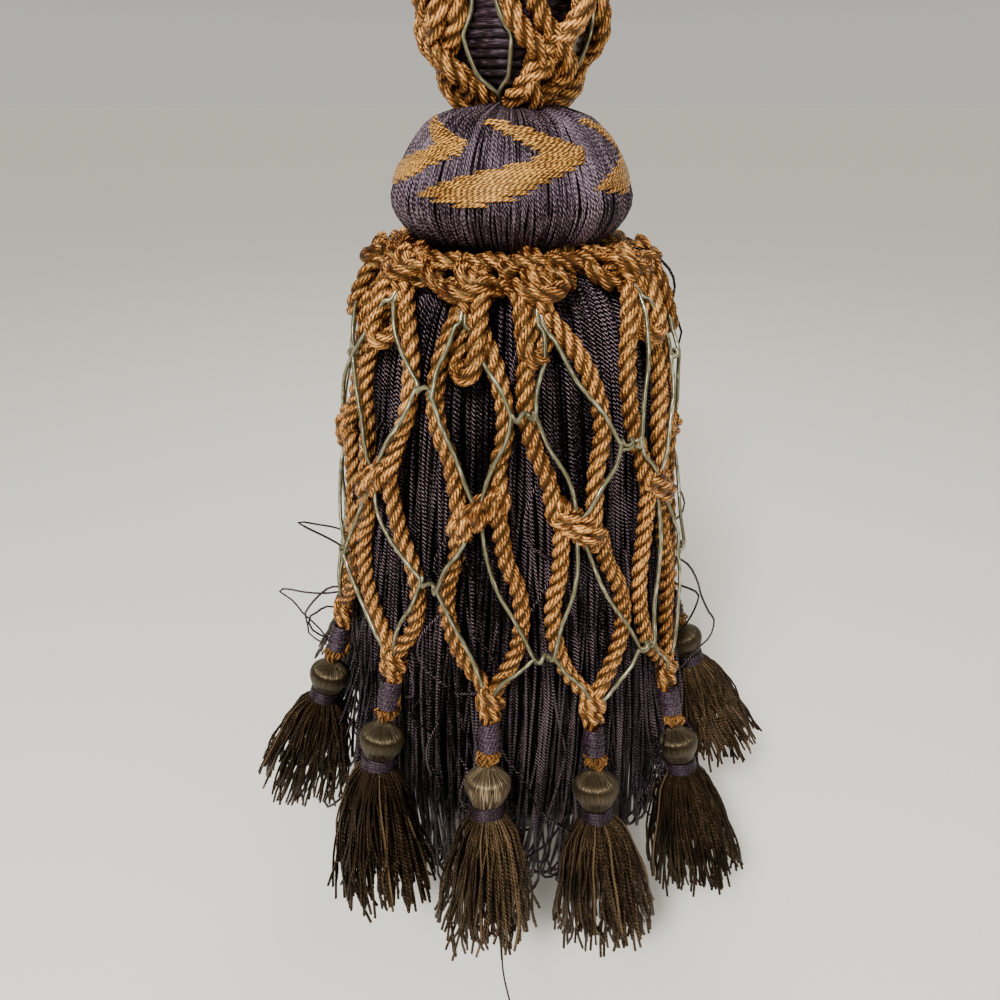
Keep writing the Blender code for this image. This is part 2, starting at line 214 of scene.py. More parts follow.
# %% The laid cord tree
CORD_SIZES = {  # names of the tree's inputs and their kinds of socket
    "Radius": "NodeSocketFloat",
    "Plies": "NodeSocketInt",
    "Groove": "NodeSocketFloat",
    "Sides": "NodeSocketInt",
    "Lay": "NodeSocketFloat",
    "Step": "NodeSocketFloat",
    "Finish": "NodeSocketMaterial",
}
MATH = "ShaderNodeMath"


def lobes(tree, around, plies):
    """The height of evenly spaced ridges at a point of the ring: 1 on a crest and 0 between two of them."""
    add = functools.partial(add_node, tree)
    x, y = add("ShaderNodeSeparateXYZ", {0: around}).node.outputs[:2]
    bearing = add(MATH, {0: y, 1: x}, operation="ARCTAN2")
    ply = add(MATH, {0: bearing, 1: plies}, operation="MULTIPLY")
    half = add(MATH, {0: ply, 1: 0.5}, operation="MULTIPLY")
    wave = add(MATH, {0: half}, operation="COSINE")
    return add(MATH, {0: wave}, operation="ABSOLUTE")


def laid_cord_tree():
    """The Geometry Nodes tree that lays a cord along each path of a mesh of edges."""
    tree = bpy.data.node_groups.new("laid cord", "GeometryNodeTree")
    add = functools.partial(add_node, tree)
    tree.interface.new_socket("Paths", in_out="INPUT", socket_type="NodeSocketGeometry")
    for name, kind in CORD_SIZES.items():
        tree.interface.new_socket(name, in_out="INPUT", socket_type=kind)
    tree.interface.new_socket("Cords", in_out="OUTPUT", socket_type="NodeSocketGeometry")
    given = add("NodeGroupInput").node.outputs
    paths = add("GeometryNodeMeshToCurve", {"Mesh": given["Paths"]})
    even = add("GeometryNodeResampleCurve", {"Curve": paths, "Length": given["Step"]}, mode="LENGTH")
    # turns of the whole path, rounded to a whole number of plies so that a ring closes
    far = add("GeometryNodeSplineParameter", output="Length")
    whole = add("GeometryNodeSplineLength", output="Length")
    laid = add(MATH, {0: whole, 1: given["Plies"]}, operation="MULTIPLY")
    strands = add(MATH, {0: laid, 1: given["Lay"]}, operation="DIVIDE")
    entire = add(MATH, {0: strands}, operation="ROUND")
    turns = add(MATH, {0: entire, 1: given["Plies"]}, operation="DIVIDE")
    share = add(MATH, {0: far, 1: whole}, operation="DIVIDE")
    turned = add(MATH, {0: share, 1: turns}, operation="MULTIPLY")
    tilt = add(MATH, {0: turned, 1: math.tau}, operation="MULTIPLY")
    cord = add("GeometryNodeSetCurveTilt", {"Curve": even, "Tilt": tilt})
    onward = add("GeometryNodeInputTangent")
    # the ring, pulled in between the plies
    fields = {"Resolution": given["Sides"], "Radius": given["Radius"]}
    ring = add("GeometryNodeCurvePrimitiveCircle", fields, mode="RADIUS")
    spot = add("GeometryNodeInputPosition")
    crest = lobes(tree, spot, given["Plies"])
    low = add(MATH, {0: 1.0, 1: crest}, operation="SUBTRACT")
    pulled = add(MATH, {0: low, 1: given["Groove"]}, operation="MULTIPLY")
    kept = add(MATH, {0: 1.0, 1: pulled}, operation="SUBTRACT")
    lobed = add("ShaderNodeVectorMath", {0: spot, "Scale": kept}, operation="SCALE")
    around = add("ShaderNodeVectorMath", {0: spot}, operation="NORMALIZE")
    # what the materials read, stored on the cord and on its ring
    stored = (("along", "FLOAT", far), ("turn", "FLOAT", tilt), ("onward", "FLOAT_VECTOR", onward))
    for name, kind, field in stored:
        fields = {"Geometry": cord, "Name": name, "Value": field}
        cord = add("GeometryNodeStoreNamedAttribute", fields, data_type=kind, domain="POINT")
    fields = {"Geometry": ring, "Name": "around", "Value": around}
    ring = add("GeometryNodeStoreNamedAttribute", fields, data_type="FLOAT_VECTOR", domain="POINT")
    ring = add("GeometryNodeSetPosition", {"Geometry": ring, "Position": lobed})
    thickness = add("GeometryNodeInputNamedAttribute", {"Name": "thickness"}, data_type="FLOAT")
    fields = {"Curve": cord, "Profile Curve": ring, "Scale": thickness, "Fill Caps": True}
    swept = add("GeometryNodeCurveToMesh", fields)
    smooth = add("GeometryNodeSetShadeSmooth", {"Geometry": swept})
    real = add("GeometryNodeRealizeInstances", {"Geometry": smooth})
    done = add("GeometryNodeSetMaterial", {"Geometry": real, "Material": given["Finish"]})
    add("NodeGroupOutput", {"Cords": done})
    return tree


cord_tree = laid_cord_tree()
cord_sockets = {item.name: item.identifier for item in cord_tree.interface.items_tree}
print("nodes in the cord tree:", len(cord_tree.nodes))

# %% [markdown]
# A piece starts as a mesh of bare edges. The modifier turns it into cords, the result is taken as a plain
# mesh, and the modifier goes. Then the piece is hung on the root body, and the CAD nodes that it stands for
# are hidden.


# %% From paths to pieces
LENGTHS = ("Radius", "Lay", "Step")  # the tree takes these in metres
SINGLE = {"Plies": 1, "Groove": 0.0, "Lay": 0.0}  # a plain round thread


def strand(points, thickness=1.0, tone=0.5, closed=False):
    """A path in mm for the cord tree, with its thickness, one number or one for each point, and its tone."""
    if not isinstance(thickness, list):
        thickness = [thickness] * len(points)
    return {"points": points, "thickness": thickness, "tone": tone, "closed": closed}


def lay_cords(name, strands, finish, slot, stands_for, **sizes):
    """The piece made of a cord along each strand. Its sizes are the tree's inputs, in mm."""
    points, edges, thickness, tones = [], [], [], []
    for path in strands:
        first = len(points)
        points += [p * MM for p in path["points"]]
        edges += [(i, i + 1) for i in range(first, len(points) - 1)]
        if path["closed"]:
            edges.append((len(points) - 1, first))
        thickness += path["thickness"]
        tones += [path["tone"]] * len(path["points"])
    mesh = bpy.data.meshes.new(name)
    mesh.from_pydata(points, edges, [])
    mesh.attributes.new("thickness", "FLOAT", "POINT").data.foreach_set("value", thickness)
    mesh.attributes.new("tone", "FLOAT", "POINT").data.foreach_set("value", tones)
    piece = put(name, mesh)
    cords = piece.modifiers.new("laid cord", "NODES")
    cords.node_group = cord_tree
    for key, value in {**SINGLE, **sizes, "Finish": finish}.items():
        cords[cord_sockets[key]] = value * MM if key in LENGTHS else value
    graph = bpy.context.evaluated_depsgraph_get()
    made = bpy.data.meshes.new_from_object(
        piece.evaluated_get(graph), preserve_all_data_layers=True, depsgraph=graph
    )
    piece.modifiers.remove(cords)
    piece.data = made
    made.name = name
    dress(piece, stands_for)


def dress(piece, stands_for):
    """Hangs a piece on the root body, hides the CAD nodes that it stands for, and prints its size."""
    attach(piece, "root")
    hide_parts(*stands_for)
    print(piece.name, "triangles:", sum(len(face.vertices) - 2 for face in piece.data.polygons))


# %% [markdown]
# ## Fibre finishes
# All of this tassel is artificial silk, or rayon: bright, smooth filament that is spun, wound or laid, never
# matt like wool. The eye sees three things. Fine streaks run with the filaments, light ones where they catch
# the window; here they are painted into the colour, as painted highlights. Plies or windings give small regular
# ridges; they are raised in the bump and also painted into the colour, with painted highlights on the crests
# and painted shade in the grooves. Each thread's dye differs a little from the next.
# The streaks are a noise stretched along the cord. A real filament is about 0.02 mm thick, far too fine
# to show, so the streaks are drawn coarser, as bundles of 0.15 to 0.4 mm. Filaments throw a highlight out to
# their sides and keep it short along them. So the gloss is anisotropic, with the cord's direction as tangent.

# %% The fibre material
ANISOTROPY = 0.85
LAID = math.inf  # the lay of ridges that the tree has turned already
STREAK_SHIFT = 40.0  # by the tone, so that no two threads have the same streaks
TWIST_SHIFT = 57.0  # the same for where their twist begins
DRIFTS_A_METRE = 55.0  # dye and wear drift over about 18 mm
RIDGE_MEAN = 0.55  # a sharper ridge is lower on average
DARKEST, LIGHTEST = 0.1, 0.95  # where the first and the last shade are reached
RELIEF = 0.25  # mm


def fibre_finish(
    name, shades, glint, radius, bundle, streak, contrast, tones, roughness, bump, gloss,
    ridges=(), fibre_turn=0.0, wound=False, dark=0.56,
):
    """A filament finish. Shades are dark, middle and light, and glint is the colour of its highlights. Radius,
    bundle width and streak length are in mm. Contrast is how strongly ridges and streaks are painted into the
    colour: painted highlights on crests and light streaks, painted shade in grooves. Tones says how much
    neighbouring threads differ. Each of the ridges is (number round the cord, lay in mm, depth, sharpness):
    two for two-ply yarn, three for a rope's strands. Fibre turn is how far the filaments follow the tree's
    lay, and wound says that they go round the cord. Dark is the share of the shades, from 0 to 1, up to where
    the middle one is reached."""
    made = bpy.data.materials.new(name)
    made.use_nodes = True
    tree = made.node_tree
    add = functools.partial(add_node, tree)
    shader = tree.nodes["Principled BSDF"]
    around, onward = [add("ShaderNodeAttribute", (), "Vector", attribute_name=n) for n in ("around", "onward")]
    numbers = ("along", "turn", "tone")
    along, turn, tone = [add("ShaderNodeAttribute", (), "Fac", attribute_name=n) for n in numbers]
    # filaments lie nearly with the cord, because a ply is spun against the lay
    unlaid = add(MATH, {0: turn, 1: fibre_turn}, operation="MULTIPLY")
    side = add("ShaderNodeVectorRotate", {"Vector": around, "Angle": unlaid}, rotation_type="Z_AXIS")
    wide = add("ShaderNodeVectorMath", {0: side, "Scale": radius / bundle}, operation="SCALE")
    shift = add(MATH, {0: tone, 1: STREAK_SHIFT}, operation="MULTIPLY")
    long = add(MATH, {0: along, 1: 1 / (streak * MM), 2: shift}, operation="MULTIPLY_ADD")
    reach = add("ShaderNodeCombineXYZ", {"Z": long})
    filament = add("ShaderNodeVectorMath", {0: wide, 1: reach}, operation="ADD")
    fineness = {"Scale": 1.0, "Detail": 1.5, "Roughness": 0.5}
    streaks = add("ShaderNodeTexNoise", {"Vector": filament, **fineness}, "Fac")
    spot = add("ShaderNodeTexCoord", output="Object")
    drift = add("ShaderNodeTexNoise", {"Vector": spot, "Scale": DRIFTS_A_METRE, "Detail": 2.0}, "Fac")
    # painted light: what is high is painted lighter, so crests of plies or windings get a painted highlight and
    # grooves painted shade, and light filament streaks are painted highlights; the thread's tone and the drift
    # are real colour
    height, usual = streaks, 0.5
    for number, lay, depth, sharpness in ridges:
        start = 0.0 if lay == LAID else add(MATH, {0: tone, 1: TWIST_SHIFT}, operation="MULTIPLY")
        angle = add(MATH, {0: along, 1: math.tau / (lay * MM), 2: start}, operation="MULTIPLY_ADD")
        turned = add("ShaderNodeVectorRotate", {"Vector": around, "Angle": angle}, rotation_type="Z_AXIS")
        crest = lobes(tree, turned, number)
        narrow = add(MATH, {0: crest, 1: sharpness}, operation="POWER")
        height = add(MATH, {0: narrow, 1: depth, 2: height}, operation="MULTIPLY_ADD")
        usual += depth / (1 + RIDGE_MEAN * sharpness)
    mixed = 0.5
    for field, weight, mean in ((height, contrast, usual), (tone, tones, 0.5), (drift, 2 * tones, 0.5)):
        moved = add(MATH, {0: field, 1: mean}, operation="SUBTRACT")
        mixed = add(MATH, {0: moved, 1: weight, 2: mixed}, operation="MULTIPLY_ADD")
    colour = add("ShaderNodeValToRGB", {"Fac": mixed}, "Color")
    stops = colour.node.color_ramp.elements
    stops[0].position, stops[1].position = DARKEST, LIGHTEST
    stops.new(dark)
    for stop, shade in zip(stops, shades):
        stop.color = linear(shade)
    raised = add("ShaderNodeBump", {"Height": height, "Strength": 1.0, "Distance": RELIEF * bump * MM})
    # a streak that is light is smooth as well
    spans = {"From Min": 0.3, "From Max": 0.7, "To Min": roughness + 0.1, "To Max": roughness - 0.08}
    rough = add("ShaderNodeMapRange", {"Value": streaks, **spans})
    fields = {"Base Color": colour, "Normal": raised, "Roughness": rough, "Tangent": onward}
    for socket, field in fields.items():
        tree.links.new(field, shader.inputs[socket])
    shader.inputs["IOR"].default_value = 1.53
    shader.inputs["Specular IOR Level"].default_value = gloss
    shader.inputs["Specular Tint"].default_value = linear(glint)  # light comes back through the dyed filament
    shader.inputs["Anisotropic"].default_value = 1.0 if wound else ANISOTROPY
    shader.inputs["Anisotropic Rotation"].default_value = 0.0 if wound else 0.25
    return made


print("relief of a finish with a bump of 1, in mm:", RELIEF)

# %% Nine finishes
# three strands, each with its own finer twist: crisp grooves between them, painted dark as painted shade, and
# short bright dashes, painted in as painted highlights
gold_rope = fibre_finish(
    "laid rayon rope, old gold", ("#1D0B03", "#572E10", "#E2A058"), "#FFC878", radius=2.4, bundle=0.4,
    streak=1.3, contrast=1.8, tones=0.25, roughness=0.38, bump=1.0, gloss=0.7,
    ridges=((3, LAID, 0.5, 0.6), (16, 14.7, 0.3, 1.0)), fibre_turn=0.95,
)
# close turns of silk and fine wire round a core: one narrow bright line, a little metallic, and light specks
# painted along it as painted highlights
olive_gimp = fibre_finish(
    "rayon gimp wound on wire, olive", ("#2A2719", "#6B674D", "#EEE8CC"), "#FFF6D2", radius=0.66, bundle=0.4,
    streak=3.0, contrast=1.3, tones=0.2, roughness=0.3, bump=0.1, gloss=1.0, wound=True,
)
olive_gimp.node_tree.nodes["Principled BSDF"].inputs["Metallic"].default_value = 0.6
# nearly black, and only the crests of its two plies are painted light, as small dashes of painted highlight
aubergine_yarn = fibre_finish(
    "two-ply rayon yarn, aubergine", ("#030202", "#080405", "#968088"), "#8D7A80", radius=0.6, bundle=0.3,
    streak=1.1, contrast=0.95, tones=0.3, roughness=0.3, bump=1.0, gloss=0.1, ridges=((2, 2.6, 0.6, 10.0),),
    dark=0.8,
)
# wound side by side: dark ribs, each with a soft line of light, and light streaks painted along them as painted
# highlights
aubergine_cord = fibre_finish(
    "wound rayon cord, aubergine", ("#060304", "#1B1115", "#54424B"), "#9A8792", radius=1.3, bundle=0.35,
    streak=2.2, contrast=1.8, tones=0.2, roughness=0.4, bump=0.6, gloss=0.4,
)
# hundreds of threads side by side: a satin sheen that goes round the dome, and short painted highlights on the
# crests of each thread's twist
purple_silk = fibre_finish(
    "satin rayon thread, dull purple", ("#080507", "#22171D", "#84727B"), "#A8949E", radius=0.36, bundle=0.2,
    streak=1.4, contrast=1.7, tones=0.4, roughness=0.4, bump=0.8, gloss=0.6, ridges=((2, 2.6, 0.3, 3.0),),
)
# tight turns: small, even glints, partly real gloss and partly painted highlights on the crests of the thread's
# twist
whipping_silk = fibre_finish(
    "wound rayon thread, purple", ("#0A0507", "#21151B", "#6C5B65"), "#A896A2", radius=0.5, bundle=0.2,
    streak=1.2, contrast=1.6, tones=0.2, roughness=0.38, bump=0.8, gloss=0.7, ridges=((2, 2.2, 0.3, 1.5),),
)
# long stitches across the threads, which shine where those do not, with painted highlights on the crests of
# each stitch's twist
flame_silk = fibre_finish(
    "satin stitched rayon, gold", ("#2E1503", "#653A10", "#EDB058"), "#FFD08A", radius=0.42, bundle=0.15,
    streak=1.8, contrast=2.3, tones=0.25, roughness=0.36, bump=0.9, gloss=0.8, ridges=((2, 3.2, 0.35, 2.0),),
)
# floss drawn smooth over a bead: a bright band where it is widest, and fine light lines down it painted as
# painted highlights
olive_silk = fibre_finish(
    "satin rayon floss over a bead, olive bronze", ("#090502", "#20170D", "#87735A"), "#E2C79A", radius=7.0,
    bundle=0.4, streak=7.0, contrast=1.9, tones=0.3, roughness=0.42, bump=2.4, gloss=0.8,
)
# cut yarn that turns every way: dark as a whole, with single strands that shine, and painted highlights on the
# crests of each strand's twist
fringe_yarn = fibre_finish(
    "cut rayon fringe, brown and bronze", ("#050302", "#160F0A", "#6A553C"), "#7D6342", radius=0.5, bundle=0.25,
    streak=2.4, contrast=1.1, tones=0.4, roughness=0.4, bump=1.0, gloss=0.6, ridges=((2, 2.6, 0.4, 3.0),),
)
print("finishes:", len(bpy.data.materials) - 1)

# %% [markdown]
# ## Ball
# The ball is a turned wooden mould, wound round and round with dark cord. One spiral path makes all its
# turns. A plain core inside it closes what little shows between two turns.

# %% Wound ball
BALL_RADIUS = 21.0
BALL_HALF_AXIS = 23.8
BALL_TURNS = 19
BALL_CORD_RADIUS = 1.3
STEPS_A_TURN = 36
WOUND_SHARE = 0.96  # of the ball's height, from the first turn to the last
CORE_INSIDE = 1.6  # how far the core lies inside the cord's outside
CORE_LEAST = 6.0


def ball_point(latitude, lift=0.0):
    """(radius, height) that far outside the ball at a latitude."""
    a = math.radians(latitude)
    normal = Vector((math.cos(a) / BALL_RADIUS, math.sin(a) / BALL_HALF_AXIS)).normalized()
    radius = BALL_RADIUS * math.cos(a) + lift * normal.x
    return radius, BALL_HALF_AXIS * math.sin(a) + lift * normal.y - BALL_HEIGHT / 2


def over_ball(angle, latitude, lift):
    """A point that far outside the ball at an angle and latitude."""
    radius, height = ball_point(latitude, lift)
    return place(angle, radius, -height - BALL_HEIGHT)


spiral = []
for i in range(BALL_TURNS * STEPS_A_TURN + 1):
    share = i / (BALL_TURNS * STEPS_A_TURN)
    height = (BALL_HALF_AXIS - BALL_CORD_RADIUS) * (1 - 2 * share) * WOUND_SHARE
    latitude = math.degrees(math.asin(height / BALL_HALF_AXIS))
    spiral.append(over_ball(i * 360 / STEPS_A_TURN, latitude, -BALL_CORD_RADIUS))
core_drops = [-BALL_HEIGHT + 1.4 + 1.0 * i for i in range(45)]
core_thickness = []
for drop in core_drops:
    height = min(1.0, abs(drop + BALL_HEIGHT / 2) / BALL_HALF_AXIS)
    radius = max(CORE_LEAST, BALL_RADIUS * math.sqrt(1 - height**2) - CORE_INSIDE)
    core_thickness.append(radius / BALL_CORD_RADIUS)
core = strand([place(0, 0, drop) for drop in core_drops], core_thickness)
lay_cords(
    "ball_winding", [strand(spiral), core], aubergine_cord, "aubergine_cord", ["ball"],
    Radius=BALL_CORD_RADIUS, Sides=8, Step=1.8,
)

# %% [markdown]
# Gold ropes are laced over the ball in pairs. The two ropes of a pair cross above and below the equator, and so
# do two more inside them. All are tucked in between ball and head at the foot, and a turn of the same rope
# gathers them at the crown. Gimp follows each rope on its outer side. The crown isn't in the photograph, so it
# is finished plainly.

# %% Sizes of the lacing
ROPE_RADIUS = 2.4
ROPE_DRAWN = 2.8  # its outermost fibres, so that on average it is as thick as in the CAD
ROPE = {"Radius": ROPE_DRAWN, "Plies": 3, "Groove": 0.34, "Sides": 12, "Lay": 14.0, "Step": 0.85}
GIMP_RADIUS = 0.95
GIMP_DRAWN = 0.66  # the CAD keeps it thicker, to be strong enough there
GIMP = {"Radius": GIMP_DRAWN, "Sides": 7, "Step": 0.9}
GAP = 0.3
SLACK = 0.5
LACING_PAIRS = 4
LACING_FIRST = 25.0  # the angle of the first pair
LACING_LATITUDE = 55.0  # of the turn at the crown
LACING_CROSSING = 32.0
LACING_SWAY = 28.0  # how far a rope stands from its pair's middle at the equator, in degrees
LACING_STEPS = 40
CROSSING_STEP = 1.5  # how far one rope rises over the other, and the other sinks, where they cross
INNER_SWAY = 15.0  # a second rope inside each, which crosses its partner nearer the equator
INNER_CROSSING = 20.0
INNER_STEP = 1.4
INNER_LIFT = 0.9
INNER_ASIDE = 3.0  # degrees that the inner pair stands beside the outer one
FOOT_LATITUDE = -79.0  # here the ropes are tucked in between ball and head
FOOT_LIFT = 0.6
FOOT_THINNER = 0.45  # how much a rope is pressed together there
GIMP_RING_LATITUDE = 42.0
GIMP_LEAST_SWAY = 0.62
GIMP_RISE_STEPS = 5  # in which the gimp comes down from its ring to the ball
print("ropes over the ball:", 4 * LACING_PAIRS)


# %% Ropes and gimp over the ball
def lacing_sway(latitude):
    """Degrees that a lacing rope stands from its pair's middle. Past the crossing it is on the other side."""
    return LACING_SWAY * math.cos(math.pi / 2 * latitude / LACING_CROSSING)


def ring_round_ball(latitude, lift):
    """A closed turn round the ball."""
    return strand([over_ball(10 * i, latitude, lift) for i in range(36)], closed=True)


rope_lift = ROPE_RADIUS + GAP + SLACK / 2
ring_lift = 2 * (ROPE_RADIUS + GAP) + GIMP_RADIUS + SLACK
gimp_lift = GIMP_RADIUS + GAP
ball_ropes = [ring_round_ball(LACING_LATITUDE, rope_lift)]
ball_gimps = [ring_round_ball(GIMP_RING_LATITUDE, ring_lift)]
for i in range(LACING_PAIRS):
    middle = LACING_FIRST + 360 * i / LACING_PAIRS
    for side in (-1, 1):
        rope, inner, gimp, widths = [], [], [], []
        for step in range(LACING_STEPS + 1):
            share = step / LACING_STEPS
            latitude = LACING_LATITUDE + (FOOT_LATITUDE - LACING_LATITUDE) * share
            tuck = max(0.0, (-latitude - LACING_LATITUDE) / (-FOOT_LATITUDE - LACING_LATITUDE))
            lift = rope_lift + (FOOT_LIFT - rope_lift) * tuck
            over = side * CROSSING_STEP * math.sin(math.pi * latitude / LACING_CROSSING) * (1 - tuck)
            rope.append(over_ball(middle + side * lacing_sway(latitude), latitude, lift + over))
            turn = INNER_SWAY * math.cos(math.pi / 2 * latitude / INNER_CROSSING)
            under = side * INNER_STEP * math.sin(math.pi * latitude / INNER_CROSSING) * (1 - tuck)
            inner.append(over_ball(middle + INNER_ASIDE - side * turn, latitude, lift + INNER_LIFT + under))
            widths.append(1.0 - FOOT_THINNER * tuck)
            latitude = GIMP_RING_LATITUDE + (FOOT_LATITUDE + 3 - GIMP_RING_LATITUDE) * share
            across = max(9.0, ball_point(latitude, gimp_lift)[0])
            beside = math.degrees((ROPE_RADIUS + GIMP_DRAWN + GAP) / across)
            sway = max(abs(lacing_sway(latitude)), GIMP_LEAST_SWAY * LACING_SWAY) + beside
            rise = (ring_lift - gimp_lift) * max(0.0, 1 - step / GIMP_RISE_STEPS)
            gimp.append(over_ball(middle + side * sway, latitude, gimp_lift + rise))
        ball_ropes.append(strand(rope, widths, 0.5 + 0.1 * side))
        ball_ropes.append(strand(inner, widths, 0.5 - 0.2 * side))
        ball_gimps.append(strand(gimp))
lay_cords("ball_ropes", ball_ropes, gold_rope, "old_gold_rope", ["ball_lacing"], **ROPE)
lay_cords("ball_gimps", ball_gimps, olive_gimp, "olive_gimp", ["ball_gimp"], **GIMP)

# %% [markdown]
# ## Head
# The head is a squashed dome. Silk threads are laid over it from the crown to the rim and tucked under. Each
# is its own path down the dome's outline, a little out of line with its neighbours, as laid by hand. The
# real threads are 0.3 mm thick and are drawn at more than twice that.

# %% Threads over the head
HEAD_PROFILE = (  # radius and drop
    (8.0, 0.3), (15.0, 2.0), (23.2, 4.8), (27.6, 9.0), (31.0, 13.8), (33.9, 19.2), (35.8, 24.4), (36.0, 27.4),
    (34.0, 31.8), (29.8, 36.0), (24.0, 38.8), (16.0, 39.5),
)
HEAD_THREADS = 450
THREAD_RADIUS = 0.3565  # as drawn
EVERY_CROSSING = 7  # one thread in so many lies across the others
head_line = rounded([Vector((radius, drop, 0)) for radius, drop in HEAD_PROFILE], 3)


def head_normal(i):
    """The direction out of the dome at a point of its outline, in radius and drop."""
    before = head_line[max(i - 1, 0)]
    after = head_line[min(i + 1, len(head_line) - 1)]
    along = after - before
    return Vector((along.y, -along.x, 0)).normalized()


def over_head(angle, i, lift):
    """A point that far outside the dome at an angle and at a point of its outline."""
    spot = head_line[i] + head_normal(i) * lift
    return place(angle, spot.x, spot.y)


rng = random.Random(11)
head_threads = []
for thread in range(HEAD_THREADS):
    angle = 360 * thread / HEAD_THREADS
    lean = rng.uniform(-13, 13) if thread % EVERY_CROSSING == 0 else rng.uniform(-2.5, 2.5)
    wave = rng.uniform(0, math.tau)
    lift = rng.uniform(-0.15, 0.22)
    points, widths = [], []
    for i, spot in enumerate(head_line):
        share = i / (len(head_line) - 1)
        points.append(over_head(angle + lean * share + 0.7 * math.sin(wave + 7 * share), i, lift))
        widths.append(min(1.0, 0.35 + 0.75 * spot.x / 36))  # thinner at the crown, where there is less room
    head_threads.append(strand(points, widths, rng.random()))
lay_cords(
    "head_threads", head_threads, purple_silk, "aubergine_silk", ["head"],
    Radius=THREAD_RADIUS, Sides=4, Step=3.0,
)

# %% [markdown]
# Under the threads is the mould itself. It is turned from the same outline, a hair smaller, and in the
# finish of the dark yarn, so no light comes through between two threads and what shows between them is
# painted shade. The skirt has such a core too.


# %% Turned cores
def turned_core(name, outline, finish, stands_for, sides=72):
    """A closed turned body from (radius, drop) rows, top first."""
    points = [place(0, 0, outline[0][1])]
    for radius, drop in outline:
        points += [place(360 * k / sides, radius, drop) for k in range(sides)]
    points.append(place(0, 0, outline[-1][1]))
    last = len(points) - 1
    faces = []
    for k in range(sides):
        n = (k + 1) % sides
        faces.append((0, 1 + k, 1 + n))
        for row in range(len(outline) - 1):
            a = 1 + row * sides
            faces.append((a + k, a + sides + k, a + sides + n, a + n))
        faces.append((last, last - sides + n, last - sides + k))
    mesh = bpy.data.meshes.new(name)
    mesh.from_pydata([p * MM for p in points], [], faces)
    mesh.shade_smooth()
    mesh.materials.append(finish)
    for attribute in ("tone", "along", "turn"):
        mesh.attributes.new(attribute, "FLOAT", "POINT")
    # painted shade: seen between two threads a core lies in a groove, so it takes the painted shade of the
    # grooves, the darkest its finish gives
    for attribute, value in (("around", [0.0, 1.0, 0.0]), ("onward", [0.0, 0.0, 1.0])):
        stored = mesh.attributes.new(attribute, "FLOAT_VECTOR", "POINT")
        stored.data.foreach_set("vector", value * len(points))
    dress(put(name, mesh), stands_for)


mould = [(p.x - 0.15, p.y + 0.1) for p in head_line]
turned_core("head_mould", mould, aubergine_yarn, ["head"])

# %% [markdown]
# Gold flames are stitched over the threads in long satin stitches that lie round the dome. A flame is a lazy
# Z: an upper arm that widens to the right and a lower arm that runs back to the left. Its ends go in steps of
# a few stitches, the way flame stitch does. Stepped flames like these are a traditional pattern, so one
# outline is drawn from its own few corners and set round the dome five times, no two alike. The stitches are
# drawn 0.8 mm thick, and the real thread is about 0.3 mm.

# %% Stitched flames
FLAME_UPPER = (  # corners: angle and drop
    (-21, 5.8), (-8, 5.5), (12, 7.2), (40, 11.8), (37, 16.2), (14, 13.4), (-4, 9.0), (-14, 7.0),
)
FLAME_LOWER = ((40, 11.6), (37, 16.0), (20, 19.0), (3, 23.4), (-19, 25.6), (-49, 22.4), (-26, 18.0), (14, 13.4))
FLAMES = (  # angle, width and height of each, its drop, and how far its upper arm lies to one side
    (0, 1.0, 1.0, 0.0, 0), (-59, 0.86, 0.86, 0.0, 0), (78, 0.8, 0.9, 0.6, -14), (150, 1.0, 0.95, 0.2, 4),
    (222, 0.95, 1.0, 0.0, -6),
)
STITCH_RADIUS = 0.42
STITCH_PITCH = 0.62
STITCH_LIFT = 0.75  # of its middle over the threads
STITCH_STEPS = 12
LEAST_STITCH = 9.0  # degrees, so that a flame ends in a point
ARMS = ((FLAME_UPPER, 0.035, 2), (FLAME_LOWER, -0.03, 3))  # corners, slant, and stitches in a step of the edge


def crossings(corners, drop):
    """The least and greatest angle of a flame at a drop, or nothing where it isn't."""
    found = []
    for (a0, d0), (a1, d1) in zip(corners, corners[1:] + corners[:1]):
        if min(d0, d1) <= drop < max(d0, d1):
            found.append(a0 + (a1 - a0) * (drop - d0) / (d1 - d0))
    return (min(found), max(found)) if len(found) > 1 else None


def dome_at(drop):
    """The place on the dome's outline nearest to a drop, as a radius."""
    return interpolate([(p.y, p.x) for p in head_line], drop)


stitches = []
for middle, wide, tall, lower, aside in FLAMES:
    for corners, slant, group in ARMS:
        row = 0
        moved = middle + (aside if corners == FLAME_UPPER else 0)
        drop = min(d for a, d in corners)
        while drop < max(d for a, d in corners):
            held = drop + STITCH_PITCH * (group / 2 - row % group)
            ends = crossings(corners, held)
            if ends and ends[1] - ends[0] > LEAST_STITCH:
                left = ends[0] + rng.uniform(-0.7, 0.7)
                right = ends[1] + rng.uniform(-0.7, 0.7)
                tone = rng.random()
                points = []
                for k in range(STITCH_STEPS + 1):
                    angle = left + (right - left) * k / STITCH_STEPS
                    at = lower + drop * tall + slant * (angle - (left + right) / 2)
                    radius = dome_at(at)
                    normal = Vector((1, dome_at(at - 0.5) - dome_at(at + 0.5), 0)).normalized()
                    lift = STITCH_LIFT * (1 - abs(2 * k / STITCH_STEPS - 1) ** 6)
                    points.append(place(moved + angle * wide, radius + normal.x * lift, at + normal.y * lift))
                widths = [0.4] + [1.0] * (STITCH_STEPS - 1) + [0.4]
                stitches.append(strand(points, widths, tone))
            drop += STITCH_PITCH / (0.8 + 0.3 * drop / 10)  # closer where the dome is steep
            row += 1
lay_cords(
    "head_flames", stitches, flame_silk, "aubergine_silk", ["head"], Radius=STITCH_RADIUS, Sides=5, Step=1.3
)
